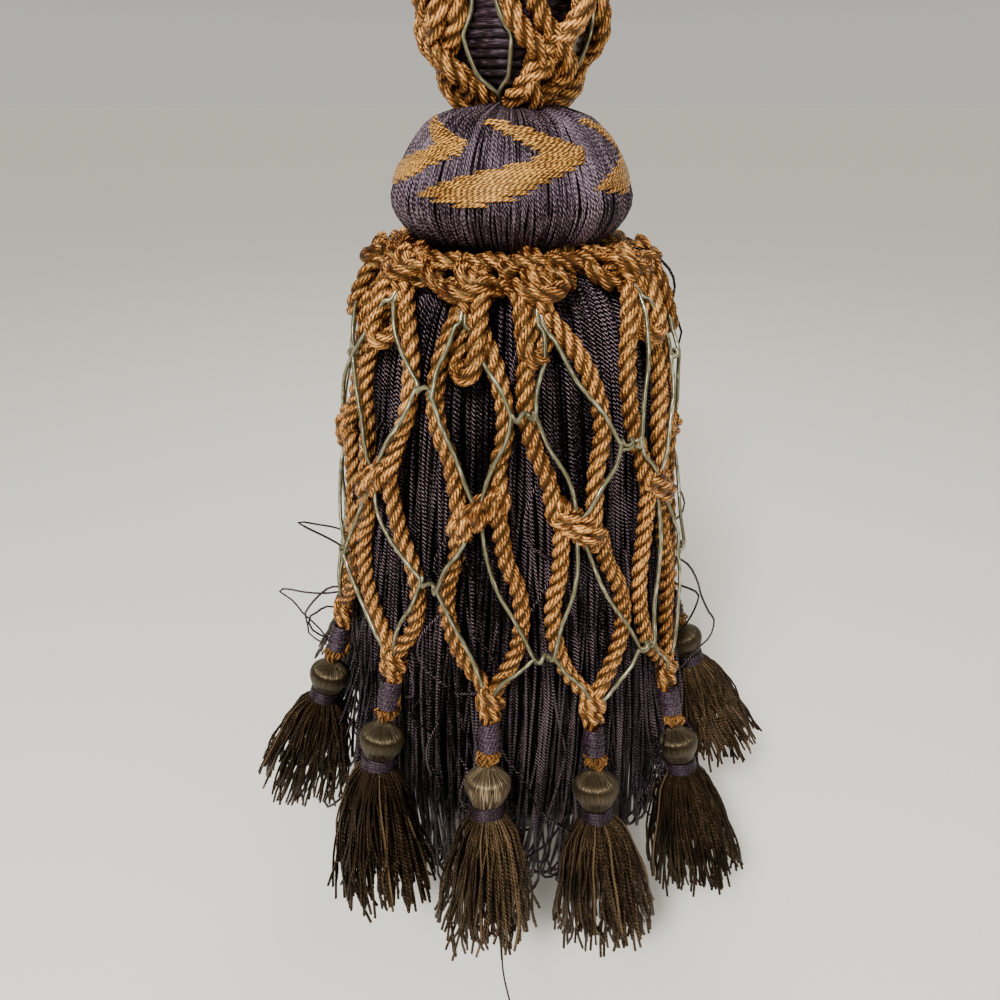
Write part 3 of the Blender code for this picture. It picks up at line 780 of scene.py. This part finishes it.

# %% [markdown]
# ## Skirt
# The skirt is two-ply yarn, hung from a collar under the head. Each length goes down, turns in a loop at
# the foot and goes up again, as on a bullion fringe. Three layers hang one inside the other, the outer one as
# a front and a back. Every length strays a little to the side on its way down, so the yarns cross and part
# like real ones, and in four places slack yarn bulges out under the net. The real yarn is 0.6 to 0.8 mm thick
# and is drawn 1.2 mm thick, so that 616 lengths fill the skirt. A dark core inside them closes what shows
# between them with painted shade.

# %% Sizes of the skirt
SKIRT_TOP = 40.5
COLLAR_DROP = 43.0
YARN_RADIUS = 0.6
SKIRT_LAYERS = (  # name, loops, share of the skirt's radius, first and last angle, least drop of the foot
    ("skirt_yarn_front", 88, 0.985, -95, 95, 250),
    ("skirt_yarn_back", 74, 0.985, 95, 265, 250),
    ("skirt_yarn_middle", 100, 0.92, -180, 180, 250),
    ("skirt_yarn_inner", 46, 0.62, -180, 180, 248),
)
LOWEST_FOOT = 264
YARN = {"Radius": YARN_RADIUS, "Sides": 4, "Step": 3.2}
INNER_YARN = {"Radius": YARN_RADIUS, "Sides": 3, "Step": 5.0}
FLOW = 4.5  # how far whole groups of yarn drift to one side, in degrees
TIED_IN = 2.3  # how far the heading of the net pulls the yarn in
BULGES = ((-108, 13, 190), (-61, 5, 170), (79, 12, 208), (114, 13, 185))  # angle, size and drop of slack yarn
BULGE_HALF = 11.0  # half its width, in degrees
BULGE_HEIGHT = 36.0
HEADING_END = 20.0  # how far below the collar the heading of the net still ties the yarn in
CROSSING_SHARE = 0.38  # of the yarns, which stray over their neighbours
print("lengths of yarn in the skirt:", 2 * sum(layer[1] for layer in SKIRT_LAYERS))


# %% Skirt yarn
def yarn_down(angle, share, end, sway, phase):
    """A length of skirt yarn from the collar to the foot."""
    points = []
    for i in range(20):
        part = i / 19
        drop = SKIRT_TOP + (end - SKIRT_TOP) * part
        radius = interpolate(SKIRT_PROFILE, max(drop, COLLAR_DROP)) * share - YARN_RADIUS
        if i == 0:
            radius -= 5  # tucked in under the head
        stray = sway * part * math.sin(phase + 5.2 * part) + 0.6 * math.sin(2.3 * phase + 17 * part)
        stray += FLOW * math.sin(math.radians(4 * angle + 30)) * math.sin(math.pi * part)
        swell = 0.9 * math.sin(1.7 * phase + 9 * part) * min(1.0, part * 4)
        swell -= TIED_IN * max(0.0, 1 - (drop - COLLAR_DROP) / HEADING_END)
        for middle, size, deepest in BULGES:
            away = ((angle - middle + 180) % 360 - 180) / BULGE_HALF
            slack = 0.6 + 0.4 * math.sin(7 * phase)
            swell += size * slack * math.exp(-(away**2)) * math.exp(-(((drop - deepest) / BULGE_HEIGHT) ** 2))
        points.append(place(angle + stray, radius + swell, drop))
    return points


def stray(draw):
    """How far a yarn strays, in degrees. A few cross over their neighbours."""
    return draw.uniform(6, 14) if draw.random() < CROSSING_SHARE else draw.uniform(1.0, 5.0)


def skirt_loops(loops, outer, start, stop, highest, seed):
    """The loops of one layer. The two lengths of a loop hang side by side."""
    draw = random.Random(seed)
    span = stop - start
    made = []
    for i in range(loops):
        middle = start + span * (i + 0.5 + draw.uniform(-0.3, 0.3)) / loops
        reach = span / loops * draw.uniform(0.2, 0.45)
        end = draw.uniform(highest, LOWEST_FOOT)
        down = yarn_down(middle - reach, outer, end, stray(draw), draw.uniform(0, 6.3))
        up = yarn_down(middle + reach, outer - draw.uniform(0, 0.04), end, stray(draw), draw.uniform(0, 6.3))
        turn = (down[-1] + up[-1]) / 2 - Vector((0, 0, min(4.0, (down[-1] - up[-1]).length * 0.6)))
        path = rounded(down + [turn] + up[::-1], 3)
        made.append(strand(path, draw.uniform(0.85, 1.1), draw.random()))
    return made


for seed, (name, *layer) in enumerate(SKIRT_LAYERS, 20):
    sizes = INNER_YARN if name == "skirt_yarn_inner" else YARN
    lay_cords(name, skirt_loops(*layer, seed), aubergine_yarn, "skirt_yarn", ["skirt"], **sizes)

# painted shade: a dark body inside the skirt, in the groove finish of the yarn, so that the gaps between the
# lengths read as shade
skirt_shade_outline = [(18.0, 39.7), (33.0, 41.5)]
skirt_shade_outline += [(radius * 0.9 - 2.0, drop) for drop, radius in SKIRT_PROFILE if 43 <= drop <= 230]
skirt_shade_outline += [(53.0, 240.0), (46.0, 247.0), (20.0, 249.0)]
turned_core("skirt_shade_core", skirt_shade_outline, aubergine_yarn, ["skirt"])

# %% [markdown]
# ## Net
# Ten columns of gold rope hang over the skirt. In each, two ropes are knotted together at the top, in the
# middle and at the end, with a long eye between two knots. Where they are knotted, the ropes simply wind
# round each other. The middle knots lie aslant: a rope that comes down on the left winds along the knot and
# leaves on the right. So each rope is one single path from the heading to the small tassel. The ropes are drawn
# 5.6 mm across their outermost fibres. The columns at the back aren't in the photograph and follow the others.

# %% Net columns
KNOT_RADIUS = 4.2
KNOT_LIFT = KNOT_RADIUS + GAP + 0.1
ROPE_LIFT = ROPE_RADIUS + GAP + SLACK
WINDING_RADIUS = 2.25
KNOT_HALF = 5.5
LONG_KNOT_HALF = 8.0  # of a middle knot
TOP_LIFT = 2.4  # the yarn gives way under the top knots
LEG = [(share, ROPE_LIFT) for share in (0.22, 0.36, 0.5, 0.64, 0.78)]  # shares of the way, and lifts
FOOT_DROPS = (3.0, 8.0, 13.0)  # of the rope's end below the end knot, where the whipping presses it thinner
FOOT_WIDTHS = [0.95, 0.85, 0.75, 0.65] + [0.55] * 3
NET_COLUMNS = (  # angle and drop of top, middle and end knot, bows to left and right, lean, swing
    ((-84, 43), (-84, 100), (-74, 167), 12, 13, 40, 4),
    ((-48, 43), (-49, 104), (-38, 165), 14, 13, 52, 1),
    ((-17, 46), (-10, 106), (-6, 170), 12, 11, 48, 0),
    ((9, 46), (20, 111), (25, 177), 10, 15, -50, -5),
    ((55, 43), (55, 108), (62, 185), 13, 9, -48, -11),
    ((90, 44), (93, 103), (97, 170), 12, 13, -40, -11),
    ((127, 44), (128, 106), (131, 168), 12, 12, 45, 0),
    ((164, 45), (165, 107), (167, 170), 12, 12, -45, 0),
    ((200, 44), (201, 105), (203, 168), 12, 12, 45, 0),
    ((238, 43), (239, 106), (241, 167), 12, 12, -45, 0),
)


def knot_frame(angle, drop, half, lean, lift=KNOT_LIFT):
    """The place and turn of a knot on the skirt's slope, leaned over to one side."""
    rise = interpolate(SKIRT_PROFILE, drop + half) - interpolate(SKIRT_PROFILE, drop)
    slope = math.atan2(rise, half)
    centre = on_skirt(angle, drop, lift / math.cos(slope))
    turn = Matrix.Rotation(math.radians(angle), 4, "Z") @ Matrix.Rotation(-slope, 4, "X")
    return Matrix.Translation(centre) @ turn @ Matrix.Rotation(math.radians(lean), 4, "Y")


def winding(frame_of_knot, half, turns, phase, steps=10):
    """A rope's way through a knot, from its top to its foot, round the knot's own axis."""
    points = []
    for i in range(steps + 1):
        share = i / steps
        a = phase + math.tau * turns * share
        bulge = WINDING_RADIUS * (0.8 + 0.2 * math.sin(math.pi * share))  # a knot is thinner at its ends
        spot = Vector((bulge * math.cos(a), bulge * math.sin(a), half * (1 - 2 * share)))
        points.append(frame_of_knot @ spot)
    return points


def stretch(start, stop, bow, lifts):
    """A stretch between two knots, bowed sideways, with its lift at some shares of the way."""
    points = []
    for share, lift in lifts:
        angle = start[0] + (stop[0] - start[0]) * share + bow * math.sin(math.pi * share)
        drop = start[1] + (stop[1] - start[1]) * share
        points.append(on_skirt(angle, drop, lift))
    return points


print("columns of the net:", len(NET_COLUMNS))

# %% Ropes of the net
rng = random.Random(31)
net_ropes = []
for top, middle, end, left, right, lean, swing in NET_COLUMNS:
    top_knot = knot_frame(*top, KNOT_HALF, 0, TOP_LIFT)
    middle_knot = knot_frame(*middle, LONG_KNOT_HALF, lean)
    end_knot = knot_frame(*end, KNOT_HALF, 0)
    for side, upper_bow, lower_bow in ((-1, -left, right), (1, right, -left)):
        phase = math.pi if side < 0 else 0.0
        path = winding(top_knot, KNOT_HALF, 1.0, phase)
        path += stretch(top, middle, upper_bow, LEG)
        through = winding(middle_knot, LONG_KNOT_HALF, 1.5, phase, 14)
        enters_at_top = (lean > 0) == (side > 0)
        path += through if enters_at_top else reversed(through)
        path += stretch(middle, end, lower_bow, LEG)
        path += winding(end_knot, KNOT_HALF, 1.0, math.pi - phase)
        widths = [1.0] * (len(path) - 4) + FOOT_WIDTHS
        path += [end_knot @ Vector((-side * 1.3, 0, -KNOT_HALF - z)) for z in FOOT_DROPS]
        smooth = rounded(path, 4)
        spaced = [widths[min(i // 4, len(widths) - 1)] for i in range(len(smooth))]
        net_ropes.append(strand(smooth, spaced, rng.uniform(0.2, 0.8)))
print("net ropes:", len(net_ropes))

# %% [markdown]
# The heading at the top of the net is two more ropes. They wind loosely round each other under the head, and
# at every column a loop of rope drops in front of the legs and hooks round one of them. All of them are painted
# darker than the other ropes, as painted shade under the head. In the photograph they dip behind the yarn in
# some places, and here they do the same.

# %% Heading of the net
HEADING_DROP = 42.5
HEADING_TURNS = 10
HEADING_STEPS = 288
HEADING_WIDTH = 0.95  # of its rope, as a share of the others'
HEADING_SHADE = 0.4  # how much darker its rope is, under the head where less light gets in
HEADING_DIVES = (  # angle and half the width of places where the heading goes in behind the yarn
    (4, 5), (32, 11), (-66, 7), (74, 7), (108, 10), (146, 9), (182, 8), (219, 10), (258, 8),
)
DIVE = 7.0
TUCKED_DROP = 39.6
TUCKED_RADIUS = 34.6
TURN_HALF = (6.4, 4.3, 1.4)  # half the width, depth and height of the turn across a top knot
TURN_TILT = 22  # the most it is tilted, in degrees
HOOK_DEPTH = 13  # the least that a loop drops
TWELFTHS = [math.tau * i / 12 for i in range(12)]


def dive(angle):
    """How far the heading has gone in behind the yarn at an angle, from 0 to 1."""
    deepest = 0.0
    for middle, half in HEADING_DIVES:
        away = abs((angle - middle + 180) % 360 - 180) / half
        deepest = max(deepest, math.cos(min(away, 1.5) * math.pi / 3))
    return deepest**2


def heading_rope(points, tone, closed=True):
    """Lays one more rope of the heading."""
    net_ropes.append(strand(points, HEADING_WIDTH, tone, closed=closed))


for strand_number in (0, 1):
    ring = []
    for i in range(HEADING_STEPS):
        angle = 360 * i / HEADING_STEPS
        a = math.pi * strand_number + math.tau * HEADING_TURNS * i / HEADING_STEPS
        wide = 3.5 + 0.8 * math.sin(math.radians(3 * angle + 40))
        lift = 1.5 + 0.6 * wide * math.cos(a) - DIVE * dive(angle)
        ring.append(on_skirt(angle, HEADING_DROP + wide * math.sin(a) - 2.5 * dive(angle), lift))
    heading_rope(ring, 0.25 * strand_number - HEADING_SHADE)
# a plain turn of rope behind them, tucked up under the head
turn_behind = []
for angle in range(0, 360, 5):
    turn_behind.append(place(angle, TUCKED_RADIUS + 0.8 * math.sin(math.radians(7 * angle)), TUCKED_DROP))
# painted shade: a low tone, for the shade up under the head
heading_rope(turn_behind, -0.2)
for number, column in enumerate(NET_COLUMNS):
    # a turn of rope lies across the front of each top knot
    angle, drop = column[0]
    knot = knot_frame(angle, drop, KNOT_HALF, rng.uniform(-TURN_TILT, TURN_TILT), TOP_LIFT)
    wide, deep, high = TURN_HALF
    across = [Vector((wide * math.cos(a), deep * math.sin(a), high * math.cos(2 * a))) for a in TWELFTHS]
    heading_rope([knot @ spot for spot in rounded(across, 4, closed=True)], 0.25 - HEADING_SHADE)
    side = 1 if number % 2 else -1
    depth = HOOK_DEPTH + 5 * ((number * 7) % 3) / 2  # three depths in turn
    hook = [
        (angle - side * 9, drop - 1, 1.6),
        (angle - side * 6.5, drop + 1, 5.2),
        (angle - side * 6, drop + 7, 6.6),
        (angle - side * 5, drop + depth, 7.2),
        (angle - side * 1.5, drop + depth + 3, 6.4),
        (angle + side * 1.5, drop + depth, 3.0),
        (angle + side * 1, drop + 7, 1.4),
    ]
    path = rounded([on_skirt(*spot) for spot in hook], 6)
    heading_rope(path, rng.uniform(0.3, 0.9) - HEADING_SHADE, closed=False)
print("ropes of the heading:", len(net_ropes) - 2 * len(NET_COLUMNS))
lay_cords("net_rope", net_ropes, gold_rope, "old_gold_rope", ["net"], **ROPE)

# %% [markdown]
# Two lengths of gimp leave each top knot, hook round the gimp of the next column, go into the middle knot,
# and do the same again below it. Gimp is silk wound over fine wire, so it keeps the bends it is given.

# %% Gimp of the net
GIMP_LIFT = 2 * (ROPE_RADIUS + GAP + SLACK) + GIMP_RADIUS
GIMP_LINKS = (  # angle and drop of the upper and the lower link between two columns
    ((-65, 68), (-66, 136)), ((-27, 71), (-24, 130)), ((3, 76), (9, 152)), ((38, 88), (44, 160)),
    ((73, 70), (76, 140)), ((109, 74), (112, 142)), ((146, 78), (148, 138)), ((182, 73), (185, 144)),
    ((219, 76), (221, 139)), ((257, 72), (258, 141)),
)
GIMP_BOWS = (1.5, 4.5)  # it leaves a knot steeply and bends over towards its link
LINK_HALF = 3.2
LINK_RADIUS = 1.05
LINK_TILT = 25  # the most it is tilted, in degrees
IN_KNOT = 4.8  # the gimp's lift where it goes through a middle or an end knot
FROM_TOP = ((0.25, 6.4), (0.5, 7.0), (0.75, 7.3))  # shares of the way, and lifts
TO_LINK = ((0.25, 6.8), (0.5, 7.2), (0.75, 7.3))
TO_KNOT = ((0.25, 7.3), (0.5, 7.2), (0.75, 6.8))


def nearest(angle, other):
    """The angle, brought to within half a turn of another one."""
    return (angle - other + 180) % 360 - 180 + other


def link_winding(link, side, tilt):
    """A gimp's way through a link, from its own side to the other, round the other gimp."""
    turn = Matrix.Rotation(math.radians(link[0]), 4, "Z") @ Matrix.Rotation(math.radians(tilt), 4, "Y")
    frame_of_link = Matrix.Translation(on_skirt(*link, GIMP_LIFT)) @ turn
    points = []
    for i in range(13):
        share = i / 12
        a = (math.pi / 2 if side > 0 else -math.pi / 2) + side * math.tau * 1.5 * share
        x = side * LINK_HALF * (2 * share - 1)
        points.append(frame_of_link @ Vector((x, LINK_RADIUS * math.sin(a), LINK_RADIUS * math.cos(a))))
    return points


net_gimps = []
for i, column in enumerate(NET_COLUMNS):
    following = NET_COLUMNS[(i + 1) % len(NET_COLUMNS)]
    upper, lower = GIMP_LINKS[i]
    for first, second, side in ((column, following, 1), (following, column, -1)):
        top = (nearest(first[0][0], upper[0]) + side * 0.8, first[0][1] + 2)
        middle = (nearest(second[1][0], upper[0]) - side * 0.8, second[1][1])
        end = (nearest(first[2][0], upper[0]) + side * 0.8, first[2][1])
        tilt = rng.uniform(-LINK_TILT, LINK_TILT)
        bows = iter([rng.uniform(*GIMP_BOWS) for part in range(4)])
        path = [on_skirt(top[0], top[1] - 3, 3.4), on_skirt(top[0], top[1] + 5, 5.0)]
        for start, link, stop, way, lifts in (
            (top, upper, middle, side, FROM_TOP),
            (middle, lower, end, -side, TO_LINK),
        ):
            path += stretch(start, link, -way * next(bows), lifts)
            path += link_winding(link, way, tilt)
            path += stretch(link, stop, way * next(bows), TO_KNOT)
            path += [on_skirt(*stop, IN_KNOT)]
        net_gimps.append(strand(rounded(path, 5), 1.0, rng.uniform(0.2, 0.8)))
lay_cords("net_gimp", net_gimps, olive_gimp, "olive_gimp", ["net"], **GIMP)

# %% [markdown]
# ## Whippings and small tassels
# Under each end knot the rope ends are whipped with purple thread. Below that hangs a small tassel: a frayed
# bit of rope, an olive head of satin threads over a bead, a dark band of a few turns, and a fringe of cut yarn
# that flares out. All ten share these rules, and each has its own draw of strays and tones.

# %% Frames of the small tassels
HANGER_TILT = 18.0
WHIPPING_TOP = -(KNOT_HALF + 2 * GAP)
WHIPPING_LENGTH = 11.0
HANGER_NODES = [f"hanger_{i + 1:02d}" for i in range(10)]
WHIPPING_NODES = [f"whipping_{i + 1:02d}" for i in range(10)]
HANGER_PROFILE = (  # distance below the hanger's top, and radius
    (3.0, 2.0), (4.4, 2.3), (6.2, 4.6), (7.8, 6.6), (9.4, 7.5), (11.2, 7.6), (13.0, 7.1), (15.0, 6.1),
    (16.6, 5.4), (18.0, 5.1), (20.0, 5.1), (22.4, 5.4),
)


def small_frame(angle, drop, swing):
    """The frame of a small tassel: its origin in the end knot, and Z up its own axis."""
    return (
        Matrix.Translation(on_skirt(angle, drop, KNOT_LIFT))
        @ Matrix.Rotation(math.radians(angle), 4, "Z")
        @ Matrix.Rotation(math.radians(-swing), 4, "Y")
        @ Matrix.Rotation(math.radians(-HANGER_TILT), 4, "X")
    )


def coil(matrix, top, turns, pitch, radius, steps=14):
    """Turns of thread round a small tassel's axis."""
    points = []
    for i in range(round(turns * steps) + 1):
        a = math.tau * i / steps
        points.append(matrix @ Vector((radius * math.sin(a), -radius * math.cos(a), top - pitch * i / steps)))
    return points


small_frames = [small_frame(*column[2], column[-1]) for column in NET_COLUMNS]
print("small tassels:", len(small_frames))

# %% Whippings and bands
WHIP_THREAD = 0.5
WHIP_PITCH = 2 * WHIP_THREAD * 0.92
WHIP_RADIUS = 3.1
BAND_TURNS = 5
BAND_PITCH = 0.85
BAND_RADIUS = 5.5
BAND_DROP = 17.0
BAND_SHADE = -0.9  # the band under a small head is darker than the whipping
WHIP_TURNS = (WHIPPING_LENGTH - 1.2) / WHIP_PITCH
hanger_top = WHIPPING_TOP - WHIPPING_LENGTH - GAP
coils = []
for matrix in small_frames:
    tone = rng.uniform(0.3, 0.7)
    coils.append(strand(coil(matrix, WHIPPING_TOP - 0.6, WHIP_TURNS, WHIP_PITCH, WHIP_RADIUS), 1.0, tone))
    # the thread's end goes round over the other turns
    coils.append(strand(coil(matrix, WHIPPING_TOP - 3.0, 2.3, 2.1, WHIP_RADIUS + 0.4), 0.9, tone + 0.1))
    band = coil(matrix, hanger_top - BAND_DROP, BAND_TURNS, BAND_PITCH, BAND_RADIUS)
    coils.append(strand(band, 1.0, tone + BAND_SHADE))
lay_cords(
    "whippings", coils, whipping_silk, "aubergine_silk", WHIPPING_NODES, Radius=WHIP_THREAD, Sides=5, Step=1.1
)

# %% [markdown]
# A small head is a wooden bead with silk floss drawn smoothly down over it. Its threads lie so close that it
# reads as one satin surface, so the tree sweeps one thick strand down the tassel's axis, as wide everywhere as
# the covered bead, and the finish draws the floss. Each head is of its own shade.

# %% Small heads
HEAD_SHADES = (-1.6, -1.3, 0.6, -0.4, -1.8, -0.9, 0.2, -0.9, 0.0, -1.2)  # how light each head still is
small_line = rounded([Vector((radius, down, 0)) for down, radius in HANGER_PROFILE], 3)
small_heads = []
for matrix, shade in zip(small_frames, HEAD_SHADES):
    axis = [matrix @ Vector((0, 0, hanger_top - spot.y)) for spot in small_line]
    small_heads.append(strand(axis, [spot.x for spot in small_line], shade + rng.uniform(0.0, 0.3)))
lay_cords(
    "small_heads", small_heads, olive_silk, "hanger_silk", HANGER_NODES, Radius=1.0, Sides=32, Step=0.7
)

# %% [markdown]
# The fringe is cut two-ply yarn. Each strand leaves the band, bends out and hangs. How far it spreads, how
# long it is and how much it curls are drawn at random, which gives the ragged tips of worn fringe. Each fringe
# has its own shade and sways its own way, and a few strands are gold. Real strands are about 0.65 mm thick and
# are drawn 1 mm thick.

# %% Fringe and frayed rope
FRINGE = {"Radius": 0.52, "Sides": 3, "Step": 3.6}
FRINGE_STRANDS = 200
FRINGE_TOP = 20.5
FRINGE_ROOT = 5.2
FRINGE_END = 62.5
FRINGE_SPREAD = 18.0
FRINGE_POINTS = 8
FRINGE_SHADES = (0.1, 0.0, 0.45, 0.35, -0.1, 0.3, 0.2, 0.0, 0.35, 0.15)  # how bronze each fringe is
FRINGE_SWAYS = (-1, 11, 0, 2, -2, -3, 2, -2, 1, -1)  # how far each fringe's tips hang to one side, in mm
GOLD_SHARE = 0.07
GOLD_SHADE = 1.5
FRAYS = 40  # ends of rope fibre under each whipping
FRAY_TOP = WHIPPING_TOP - WHIPPING_LENGTH + 0.8
fringe, frays = [], []
for matrix, shade, sway in zip(small_frames, FRINGE_SHADES, FRINGE_SWAYS):
    for i in range(FRINGE_STRANDS):
        a = rng.uniform(0, math.tau)
        depth = math.sqrt(rng.uniform(0.02, 1.0))
        end = FRINGE_END + rng.uniform(-7.0, 2.5) - 2 * depth
        curl = rng.uniform(0, math.tau)
        wild = rng.uniform(0.3, 1.6)
        points, widths = [], []
        for k in range(FRINGE_POINTS):
            share = k / (FRINGE_POINTS - 1)
            down = FRINGE_TOP + (end - FRINGE_TOP) * share
            radius = depth * (FRINGE_ROOT + (FRINGE_SPREAD - FRINGE_ROOT) * share**0.52)
            b = a + 0.1 * wild * math.sin(curl + 5 * share)
            x = radius * math.sin(b) + wild * share * math.sin(curl + 11 * share) + sway * share**1.4
            y = -radius * math.cos(b) + wild * share * math.cos(2 * curl + 9 * share)
            points.append(matrix @ Vector((x, y, hanger_top - down)))
            widths += [0.55 + 0.45 * min(1.0, 2 * share)] * 3  # thinner where it is tied in
        smooth = rounded(points, 3)
        tone = GOLD_SHADE if rng.random() < GOLD_SHARE else shade + 0.5 * rng.random()
        fringe.append(strand(smooth, widths[: len(smooth)], tone))
    for i in range(FRAYS):
        a = rng.uniform(0, math.tau)
        out = rng.uniform(1.8, 4.8)
        low = rng.uniform(1.5, 5.5)
        turn = rng.uniform(-0.8, 0.8)
        points = []
        for r, t, z in ((1.4, 0, 0), (out, turn, low / 2), (out * 0.7, 2 * turn, low)):
            points.append(matrix @ Vector((r * math.sin(a + t), -r * math.cos(a + t), FRAY_TOP - z)))
        frays.append(strand(rounded(points, 4), 1.0, rng.random()))
lay_cords("fringes", fringe, fringe_yarn, "hanger_silk", HANGER_NODES, **FRINGE)
lay_cords(
    "frayed_rope", frays, gold_rope, "old_gold_rope", HANGER_NODES, Radius=0.38, Sides=4, Step=1.0
)

# %% [markdown]
# Years of use have pulled some skirt yarn into loops that stand out past the net. The bigger ones are listed
# one by one, at the sides, and small ones are scattered all round. At each side 30 longer ones have come loose
# and hang among the small tassels.

# %% Sizes of the stray yarn
STRAYS = (  # angle, drop and distance outside the yarn of a few points each
    (
        (-82, 167, 1), (-86, 168, 5), (-89, 171, 21), (-90, 170, 31), (-90, 176, 25), (-88, 183, 19),
        (-84, 190, 11),
    ),
    ((-80, 163, 2), (-86, 166, 11), (-90, 179, 22), (-91, 187, 22), (-88, 192, 17), (-84, 196, 2)),
    ((-82, 172, 3), (-86, 175, 12), (-88, 182, 20), (-86, 188, 14), (-82, 190, 2)),
    ((-80, 138, 1), (-86, 140, 9), (-89, 137, 24), (-88, 141, 18), (-84, 146, 6), (-80, 150, 1)),
    ((62, 41, -2), (80, 40, 4), (88, 45, 10), (90, 56, 9.5), (88, 64, 5), (84, 70, 0)),
    ((80, 62, 1), (86, 61, 8), (88, 68, 11), (85, 78, 5), (80, 84, 0)),
    ((82, 120, 1), (88, 124, 8), (88, 132, 10), (84, 140, 1)),
    ((84, 150, 2), (88, 157, 11), (88, 171, 17), (90, 185, 22), (88, 198, 16), (82, 205, 3)),
    ((80, 158, 1), (86, 168, 14), (86, 180, 12), (78, 188, 1)),
    ((-4, 181, 5), (2, 196, 10), (15, 217, 14), (22, 221, 16), (38, 218, 14), (54, 206, 8), (62, 196, 2)),
    ((-14, 214, 4), (-8, 226, 8), (2, 236, 8), (10, 232, 6), (18, 222, 3)),
    ((140, 90, 0), (148, 96, 10), (150, 112, 12), (146, 124, 0)),
    ((210, 120, 0), (216, 130, 11), (218, 146, 9), (212, 160, 0)),
)
LOOSE_SIDES = (-82, 78)  # the middle angles of the yarn that has come loose
LOOSE_LOOPS = 30  # at each side
KINK = 0.9  # how far a stray yarn kinks to and fro, where its twist fights back
SMALL_LOOPS = 90
THREAD_END = ((4, -9, -62), (7, -12, -74), (8, -10, -88), (11, -12, -98))  # hangs from the third small tassel


def kinked(points):
    """A smooth path with small kinks in it."""
    shaken = [points[0]]
    for p in points[1:-1]:
        shaken.append(p + Vector([rng.uniform(-KINK, KINK) for axis in range(3)]))
    return shaken + [points[-1]]


def loose_loop(middle, draw):
    """A length of skirt yarn that has slipped out and hangs in a wide loop among the small tassels."""
    angle, reach, out = middle + draw.uniform(-32, 32), draw.uniform(2, 9), draw.uniform(3, 20)
    top, foot, lean = draw.uniform(140, 195), draw.uniform(224, 258), draw.uniform(-5, 5)
    path = [(angle, top, -1)]
    for side, part in ((-0.7, 0.35), (-1, 0.75), (0, 1), (1, 0.8), (0.8, 0.4)):
        path.append((angle + side * reach + part * lean, top + (foot - top) * part, out * part**2.2))
    path.append((angle + reach / 2, top + draw.uniform(-15, 15), -1))
    return [on_skirt(*spot) for spot in path]


print("long loose loops:", len(LOOSE_SIDES) * LOOSE_LOOPS)

# %% Loops listed one by one and at random
strays = []
for path in STRAYS:
    coarse = kinked(rounded([on_skirt(*spot) for spot in path], 2))
    strays.append(strand(rounded(coarse, 3), 0.75, rng.random()))
for i in range(SMALL_LOOPS):
    angle, drop = rng.uniform(-180, 180), rng.uniform(60, 215)
    across, down, out = rng.uniform(-9, 9), rng.uniform(8, 34), rng.uniform(1.5, 5.0)
    path = [(angle, drop, 0)]
    path += [(angle + across, drop + down * part, out) for part in (0.35, 0.7)]
    path += [(angle + rng.uniform(-3, 3), drop + down, 0)]
    strays.append(strand(rounded([on_skirt(*spot) for spot in path], 5), 0.7, rng.random()))
draw = random.Random(60)
for middle in LOOSE_SIDES:
    for i in range(LOOSE_LOOPS):
        strays.append(strand(rounded(loose_loop(middle, draw), 4), 0.85, 0.6 * draw.random()))
strays.append(strand(rounded([small_frames[2] @ Vector(spot) for spot in THREAD_END], 6), 0.5, 0.3))
lay_cords("stray_yarn", strays, aubergine_yarn, "skirt_yarn", ["skirt"], **YARN)
